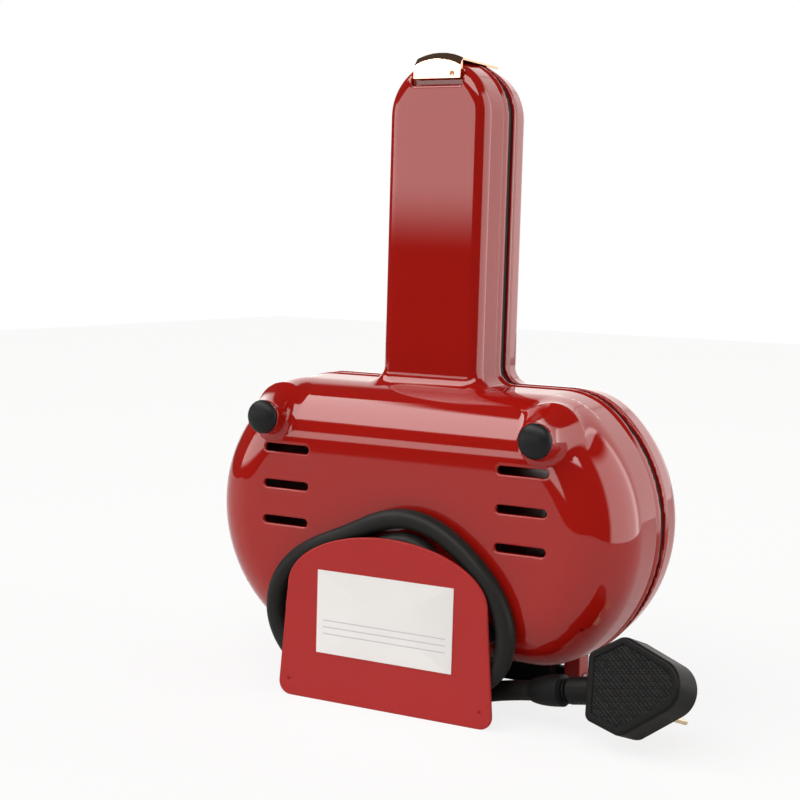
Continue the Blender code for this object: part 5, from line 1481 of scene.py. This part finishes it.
@dataclass
class CookingPlates:
    """The two cast cooking plates, with rounded pockets."""

    parting: float
    finishes: Finishes
    inset: float = 0.0086
    face: float = 0.0003
    deck: float = 0.003
    pocket_depth: float = 0.011
    pocket_floor: float = 0.0025
    pocket_place: float = 0.033
    pocket_half: float = 0.027
    pocket_tall: float = 0.029
    corner: float = 0.009
    fillet: float = 0.002
    boss_radius: float = 0.0039
    grid: float = 0.0012

    def field_for(self, side: Side) -> Field:
        """The plate's distance on one side of the parting plane."""
        bosses = [(0.0549, 0.1024, 0.0315), (0.016, 0.030, 0.026)]

        def distance(x: np.ndarray, y: np.ndarray, z: np.ndarray) -> np.ndarray:
            """Deck, pans and bosses, less the pockets."""
            depth = side.value * (y - self.parting)
            flat = PLAN.radial(x, z) - PLAN.radius + self.inset
            middle = (self.face * 2 + self.deck) / 2
            slab = np.maximum(flat, np.abs(depth - middle) - self.deck / 2)
            pan_x = np.abs(x) - self.pocket_place
            pan_z = z - PLAN.height
            grow = self.pocket_floor
            outer_x = np.maximum(np.abs(pan_x) - self.pocket_half - grow + self.corner, 0)
            outer_z = np.maximum(np.abs(pan_z) - self.pocket_tall - grow + self.corner, 0)
            pan = np.hypot(outer_x, outer_z) - self.corner
            pan = np.maximum(pan, depth - self.pocket_depth - grow)
            pan = np.maximum(pan, self.face - depth)
            metal = smooth_union(slab, pan, self.fillet / 2)
            metal = np.maximum(metal, self.face - depth)
            if side is Side.LOWER:
                for place, height, end in bosses:
                    boss = np.hypot(np.abs(x) - place, z - height) - self.boss_radius
                    boss = np.maximum(boss, np.maximum(depth - end, self.face + self.deck / 2 - depth))
                    metal = smooth_union(metal, boss, self.fillet / 2)
            inner_x = np.maximum(np.abs(pan_x) - self.pocket_half + self.corner, 0)
            inner_z = np.maximum(np.abs(pan_z) - self.pocket_tall + self.corner, 0)
            pocket = np.hypot(inner_x, inner_z) - self.corner
            floor = depth - self.pocket_depth
            round_floor = np.hypot(
                np.maximum(pocket + self.fillet, 0), np.maximum(floor + self.fillet, 0)) + np.minimum(
                np.maximum(pocket, floor) + self.fillet, 0) - self.fillet
            return smooth_cut(metal, round_floor, self.fillet / 3)

        return distance

    def build(self) -> None:
        """Make both plates."""
        for side, node, name, carrier in (
            (Side.LOWER, "lower_cooking_plate", "lower_plate_cast", Carrier.BASE),
            (Side.UPPER, "upper_cooking_plate", "upper_plate_cast", Carrier.LID)):
            low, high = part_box(node)
            axes = [axis_points(low[axis] - 2 * MM, high[axis] + 2 * MM, self.grid) for axis in range(3)]
            points, quads, normals = carved(self.field_for(side), axes)
            add_piece(name, points, quads, self.finishes.nonstick, carrier, [node], normals)


@dataclass
class HingeBarrel:
    """The black hinge bracket: a barrel with knuckle grooves, and two arms up to the case."""

    parting: float
    finishes: Finishes
    axis_depth: float = 0.016
    axis_height: float = 0.0044
    radius: float = 0.0044
    bore: float = 0.0024
    arm_place: float = 0.024
    arm_half: float = 0.018
    arm_thickness: float = 0.0018
    arm_end: float = 0.013
    arm_top: float = 0.0169
    grid: float = 0.0006

    def field(self, x: np.ndarray, y: np.ndarray, z: np.ndarray) -> np.ndarray:
        """Distance to the bracket."""
        depth = y - self.parting
        low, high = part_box("hinge_bracket")
        reach = high[0]
        away = np.hypot(depth - self.axis_depth, z - self.axis_height)
        groove = 0.0004 * np.exp(-(((np.mod(x + 0.0075, 0.015) - 0.0075) / 0.0005) ** 2))
        barrel = np.maximum(away - self.radius + groove, np.abs(x) - reach)
        middle = (self.axis_depth - self.arm_end) / 2
        arm = rounded_box(
            np.abs(x) - self.arm_place, depth - middle, z - self.arm_top + self.arm_thickness / 2,
            (self.arm_half, (self.axis_depth + self.arm_end) / 2, self.arm_thickness / 2), 0.0004)
        web = rounded_box(
            np.abs(x) - self.arm_place, depth - self.axis_depth + self.radius, z - (
                self.axis_height + self.arm_top) / 2,
            (self.arm_half, self.radius, (self.arm_top - self.axis_height) / 2), 0.0004)
        metal = smooth_union(smooth_union(barrel, arm, 0.0008), web, 0.0008)
        metal = np.maximum(metal, -(away - self.bore))
        screw = np.hypot(np.abs(x) - self.arm_place, depth + 0.008) - 0.0018
        return np.maximum(metal, -np.maximum(screw, depth))

    def build(self) -> None:
        """Make the bracket."""
        low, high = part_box("hinge_bracket")
        axes = [axis_points(low[axis] - MM, high[axis] + MM, self.grid) for axis in range(3)]
        points, quads, normals = carved(self.field, axes)
        add_piece(
            "hinge_bracket_moulding", points, quads, self.finishes.black_frame, Carrier.BASE,
            ["hinge_bracket"], normals)


@dataclass
class Screws:
    """Pan head screws with a cross recess, for the heads that can be seen."""

    finishes: Finishes
    recess_width: float = 0.00035
    recess_reach: float = 0.0015
    recess_depth: float = 0.0005

    def head(self, node: str, way: np.ndarray, carrier: Carrier) -> None:
        """One screw: a polar grid whose height is a flat dome less the cross, carried down the shank.

        Args:
            node: the CAD screw that it stands for.
            way: the direction from the shank to the head.
            carrier: the body that it rides on.
        """
        low, high = (np.array(corner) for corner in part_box(node))
        axis = int(np.abs(way).argmax())
        across = [index for index in range(3) if index != axis]
        centre = (low + high) / 2
        radius = (high[across[0]] - low[across[0]]) / 2
        length = high[axis] - low[axis]
        head = 0.0016 if length > 0.0095 else 0.0009
        turn = np.linspace(0, 2 * np.pi, 48, endpoint=False)
        share = np.array([0.04, 0.12, 0.2, 0.28, 0.36, 0.44, 0.52, 0.6, 0.7, 0.8, 0.88, 0.94, 0.98, 1.0])
        u = radius * share[:, None] * np.cos(turn)
        v = radius * share[:, None] * np.sin(turn)
        dome = -head * 0.45 * share[:, None] ** 4 + 0 * u
        cross = np.minimum(
            np.maximum(np.abs(u) - self.recess_width, np.abs(v) - self.recess_reach),
            np.maximum(np.abs(v) - self.recess_width, np.abs(u) - self.recess_reach))
        cross_depth = np.minimum(self.recess_depth, head * 0.6)
        height = dome - cross_depth * ease(-cross / 0.0002)
        rows = [np.stack([u[row], v[row], height[row]], -1) for row in range(len(share))]
        shank = radius / 2
        for reach, down in (
            (1.0, head), (shank / radius, head), (shank / radius, length - shank), (0.25, length)):
            rows.append(np.stack(
                [radius * reach * np.cos(turn), radius * reach * np.sin(turn), np.full_like(turn, -down)],
                -1))
        local = np.vstack(rows)
        faces = grid_faces(len(rows), len(turn), False, True).tolist()
        faces.append(list(range(len(turn)))[::-1])
        faces.append([(len(rows) - 1) * len(turn) + step for step in range(len(turn))])
        top = centre.copy()
        top[axis] = high[axis] if way[axis] > 0 else low[axis]
        points = np.tile(top, (len(local), 1))
        points[:, across[0]] += local[:, 0]
        points[:, across[1]] += local[:, 1]
        points[:, axis] += np.sign(way[axis]) * local[:, 2]
        add_piece(
            node + "_head", points, outward(points, faces), self.finishes.steel, carrier, [node])

    def build(self) -> None:
        """Every screw that shows when the lid is open or from below."""
        towards_lid = np.array([0.0, 1.0, 0.0])
        for number in (1, 2):
            self.head(f"lower_frame_screw_{number}", towards_lid, Carrier.BASE)
            self.head(f"upper_frame_screw_{number}", -towards_lid, Carrier.LID)
        for place in ("upper_left", "upper_right", "lower_left", "lower_right"):
            self.head(f"lid_plate_screw_{place}", -towards_lid, Carrier.LID)
        for word in ("left", "right"):
            self.head(f"bracket_screw_{word}", np.array([0.0, 0.0, -1.0]), Carrier.BASE)


class CarriedNodes:
    """The CAD nodes whose shapes stay, with their finishes."""

    def __init__(self, finishes: Finishes) -> None:
        """Keep the finish of each node that stays."""
        self.by_finish = {
            finishes.black_frame: ("lower_frame", "upper_frame", "thermostat", "cord_clamp"),
            finishes.rubber: ("cord_gland",),
            finishes.heater: ("lower_heating_element", "upper_heating_element"),
            finishes.reflector: ("lower_reflector", "upper_reflector"),
            finishes.nylon: ("thermal_fuse", "terminal_block", "lead_sleeve", "lamp_holder"),
            finishes.wire: ("live_lead", "neutral_lead"),
            finishes.steel: (
                "hinge_pin_left", "hinge_pin_right", "latch_pin", "foot_screw_left", "foot_screw_right",
                "wrap_plate_screw_left", "wrap_plate_screw_right"),
            finishes.red_lens: ("power_lens",),
            finishes.green_lens: ("ready_lens",),
        }

    def dress(self, frame: dict) -> None:
        """Give each node its material."""
        for material, names in self.by_finish.items():
            for name in names:
                for place in frame["nodes"][name].material_slots:
                    place.material = material
                LOG.info("%s: dressed as %s", name, material.name)


@dataclass(frozen=True)
class Panel:
    """A lit panel of the surround: degrees across from the front, plus to the right, and up from level."""

    name: str
    across: tuple[float, float]
    up: tuple[float, float]
    soft: float
    radiance: float
    both_sides: bool = False


@dataclass
class Studio:
    """Floor, lamps, world and camera."""

    parting: float
    yaw: float = 28.0
    pitch: float = 5.73
    roll: float = 1.6043
    lens: float = 70.53
    sensor: float = 36.0
    aim: tuple[float, float, float] = (-0.022079, 0.0, 0.107495)
    distance: float = 0.607587
    front_power: float = 2.2
    top_power: float = 3.0
    dim: float = 0.07
    matte_share: float = 0.42
    floor_edges: tuple[float, float, float, float] = (-1.6, 0.5, -0.6, 2.4)
    panels: tuple[Panel, ...] = (
        Panel("front_left", (-80.0, 2.0), (1.0, 12.0), 1.3, 3.6),
        Panel("overhead", (-92.0, 45.0), (31.0, 62.0), 1.5, 6.5),
        Panel("right", (72.0, 138.0), (-12.0, 38.0), 4.0, 3.4),
        Panel("backdrop", (128.0, 181.0), (-30.0, 42.0), 5.0, 1.5, True),
    )

    def camera(self) -> None:
        """A camera at the photograph's angle."""
        yaw = math.radians(self.yaw)
        pitch = math.radians(self.pitch)
        forward = Vector(
            (-math.sin(yaw) * math.cos(pitch), math.cos(yaw) * math.cos(pitch), -math.sin(pitch)))
        right = Vector((math.cos(yaw), math.sin(yaw), 0))
        up = right.cross(forward)
        roll = math.radians(self.roll)
        turned_right = math.cos(roll) * right + math.sin(roll) * up
        turned_up = math.cos(roll) * up - math.sin(roll) * right
        aim = Vector(self.aim) + Vector((0, self.parting, 0))
        data = bpy.data.cameras.new("photo_camera")
        data.lens = self.lens
        data.sensor_width = self.sensor
        data.clip_start = 0.05
        data.clip_end = 20
        camera = bpy.data.objects.new("photo_camera", data)
        basis = Matrix((turned_right, turned_up, -forward)).transposed().to_4x4()
        camera.matrix_world = Matrix.Translation(aim - forward * self.distance) @ basis
        bpy.context.scene.collection.objects.link(camera)
        bpy.context.scene.camera = camera

    def panel(
            self, name: str, place: Sequence[float], target: Sequence[float], size: Sequence[float],
            power: float) -> None:
        """One rectangular lamp that faces its target."""
        data = bpy.data.lights.new(name, "AREA")
        data.shape = "RECTANGLE"
        data.size = size[0]
        data.size_y = size[1]
        data.energy = power
        lamp = bpy.data.objects.new(name, data)
        way = Vector(target) - Vector(place)
        lamp.matrix_world = Matrix.Translation(Vector(place)) @ way.to_track_quat("-Z", "Y").to_matrix().to_4x4()
        lamp.visible_glossy = False
        bpy.context.scene.collection.objects.link(lamp)

    def lamps(self) -> None:
        """Fill lamps, which polished surfaces don't mirror: what they mirror is in the surround."""
        middle = (0, 0, 0.1)
        self.panel("front_fill", (-0.75, -1.35, 0.85), middle, (0.9, 0.9), self.front_power)
        self.panel("top_fill", (0.1, -0.1, 1.3), middle, (1.0, 1.0), self.top_power)

    def window(
            self, tree: bpy.types.NodeTree, value: bpy.types.NodeSocket, low: float, high: float,
            soft: float) -> bpy.types.NodeSocket:
        """A mask that is 1 between two limits and fades out over the softness on either side."""
        parts = []
        for start, end in ((low - soft, low + soft), (high + soft, high - soft)):
            fade = tree.nodes.new("ShaderNodeMapRange")
            fade.interpolation_type = "SMOOTHSTEP"
            tree.links.new(value, fade.inputs["Value"])
            fade.inputs["From Min"].default_value = min(start, end)
            fade.inputs["From Max"].default_value = max(start, end)
            fade.inputs["To Min"].default_value = 0.0 if start < end else 1.0
            fade.inputs["To Max"].default_value = 1.0 if start < end else 0.0
            parts.append(fade.outputs["Result"])
        return self.combined(tree, "MULTIPLY", *parts)

    def combined(
            self, tree: bpy.types.NodeTree, operation: str,
            *values: bpy.types.NodeSocket | float) -> bpy.types.NodeSocket:
        """The result of one arithmetic node."""
        node = tree.nodes.new("ShaderNodeMath")
        node.operation = operation
        for socket, value in zip(node.inputs, values):
            if isinstance(value, (int, float)):
                socket.default_value = value
            else:
                tree.links.new(value, socket)
        return node.outputs[0]

    def world(self) -> None:
        """The studio that polished surfaces mirror: dark, with white panels; the camera itself sees plain white."""
        world = bpy.data.worlds.new("white_studio")
        bpy.context.scene.world = world
        world.use_nodes = True
        tree = world.node_tree
        place = tree.nodes.new("ShaderNodeTexCoord")
        parts = tree.nodes.new("ShaderNodeSeparateXYZ")
        tree.links.new(place.outputs["Generated"], parts.inputs[0])
        to_front = self.combined(tree, "MULTIPLY", parts.outputs["Y"], -1.0)
        across = self.combined(tree, "DEGREES", self.combined(tree, "ARCTAN2", parts.outputs["X"], to_front))
        up = self.combined(tree, "DEGREES", self.combined(tree, "ARCSINE", parts.outputs["Z"]))
        total = self.combined(tree, "ADD", 0.0, self.dim)
        for panel in self.panels:
            reach = self.combined(tree, "ABSOLUTE", across) if panel.both_sides else across
            mask = self.combined(
                tree, "MULTIPLY", self.window(tree, reach, *panel.across, panel.soft),
                self.window(tree, up, *panel.up, panel.soft))
            total = self.combined(tree, "MULTIPLY_ADD", mask, panel.radiance, total)
        path = tree.nodes.new("ShaderNodeLightPath")
        mirrored = self.combined(
            tree, "MULTIPLY_ADD", path.outputs["Is Glossy Ray"], 1.0 - self.matte_share, self.matte_share)
        total = self.combined(tree, "MULTIPLY", total, mirrored)
        light = tree.nodes["Background"]
        light.inputs["Color"].default_value = (1.0, 0.97, 0.94, 1)
        tree.links.new(total, light.inputs["Strength"])
        seen = tree.nodes.new("ShaderNodeBackground")
        seen.inputs["Color"].default_value = (1, 1, 1, 1)
        seen.inputs["Strength"].default_value = 1.0
        mix = tree.nodes.new("ShaderNodeMixShader")
        tree.links.new(path.outputs["Is Camera Ray"], mix.inputs["Fac"])
        tree.links.new(light.outputs[0], mix.inputs[1])
        tree.links.new(seen.outputs[0], mix.inputs[2])
        tree.links.new(mix.outputs[0], tree.nodes["World Output"].inputs["Surface"])

    def floor(self) -> None:
        """A pale floor that keeps the object's shadow and fades into the surround."""
        left, right, front, back = self.floor_edges
        mesh = bpy.data.meshes.new("floor")
        mesh.from_pydata(
            [(left, front, 0), (right, front, 0), (right, back, 0), (left, back, 0)], [], [(0, 1, 2, 3)])
        floor = bpy.data.objects.new("floor", mesh)
        material = bpy.data.materials.new("pale_floor")
        material.use_nodes = True
        nodes = material.node_tree.nodes
        links = material.node_tree.links
        shader = nodes["Principled BSDF"]
        shader.inputs["Base Color"].default_value = (0.93, 0.93, 0.93, 1)
        shader.inputs["Roughness"].default_value = 0.7
        shader.inputs["Specular IOR Level"].default_value = 0.1
        glow = nodes.new("ShaderNodeEmission")
        glow.inputs["Color"].default_value = (1, 1, 1, 1)
        glow.inputs["Strength"].default_value = 1.0
        path = nodes.new("ShaderNodeLightPath")
        share = nodes.new("ShaderNodeMath")
        share.operation = "MULTIPLY"
        share.inputs[1].default_value = 0.82
        links.new(path.outputs["Is Camera Ray"], share.inputs[0])
        mix = nodes.new("ShaderNodeMixShader")
        links.new(share.outputs[0], mix.inputs["Fac"])
        links.new(shader.outputs[0], mix.inputs[1])
        links.new(glow.outputs[0], mix.inputs[2])
        links.new(mix.outputs[0], nodes["Material Output"].inputs["Surface"])
        mesh.materials.append(material)
        bpy.context.scene.collection.objects.link(floor)

    def build(self) -> None:
        """Set the stage."""
        self.camera()
        self.lamps()
        self.world()
        self.floor()
        bpy.context.scene.view_settings.view_transform = "Standard"


def main() -> None:
    """Build the sub-assemblies in order around the frame."""
    logging.basicConfig(level=logging.INFO, format="%(name)s %(message)s")
    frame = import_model()
    parting = (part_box("lower_frame")[1][1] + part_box("upper_frame")[0][1]) / 2
    finishes = Finishes()
    Studio(parting).build()
    plug = Plug(parting, finishes)
    end, way, pieces = plug.build()
    MainsCord(parting, finishes).build(end, way, pieces)
    CarriedNodes(finishes).dress(frame)
    LowerCase(LOWER, parting, finishes).build()
    UpperCase(UPPER, parting, finishes).build()
    RimSeal(parting, finishes).build()
    LatchClip(parting, finishes).build()
    Feet(finishes).build()
    WrapPlate(parting, finishes).build()
    CookingPlates(parting, finishes).build()
    HingeBarrel(parting, finishes).build()
    Screws(finishes).build()


if __name__ == "__main__":
    main()
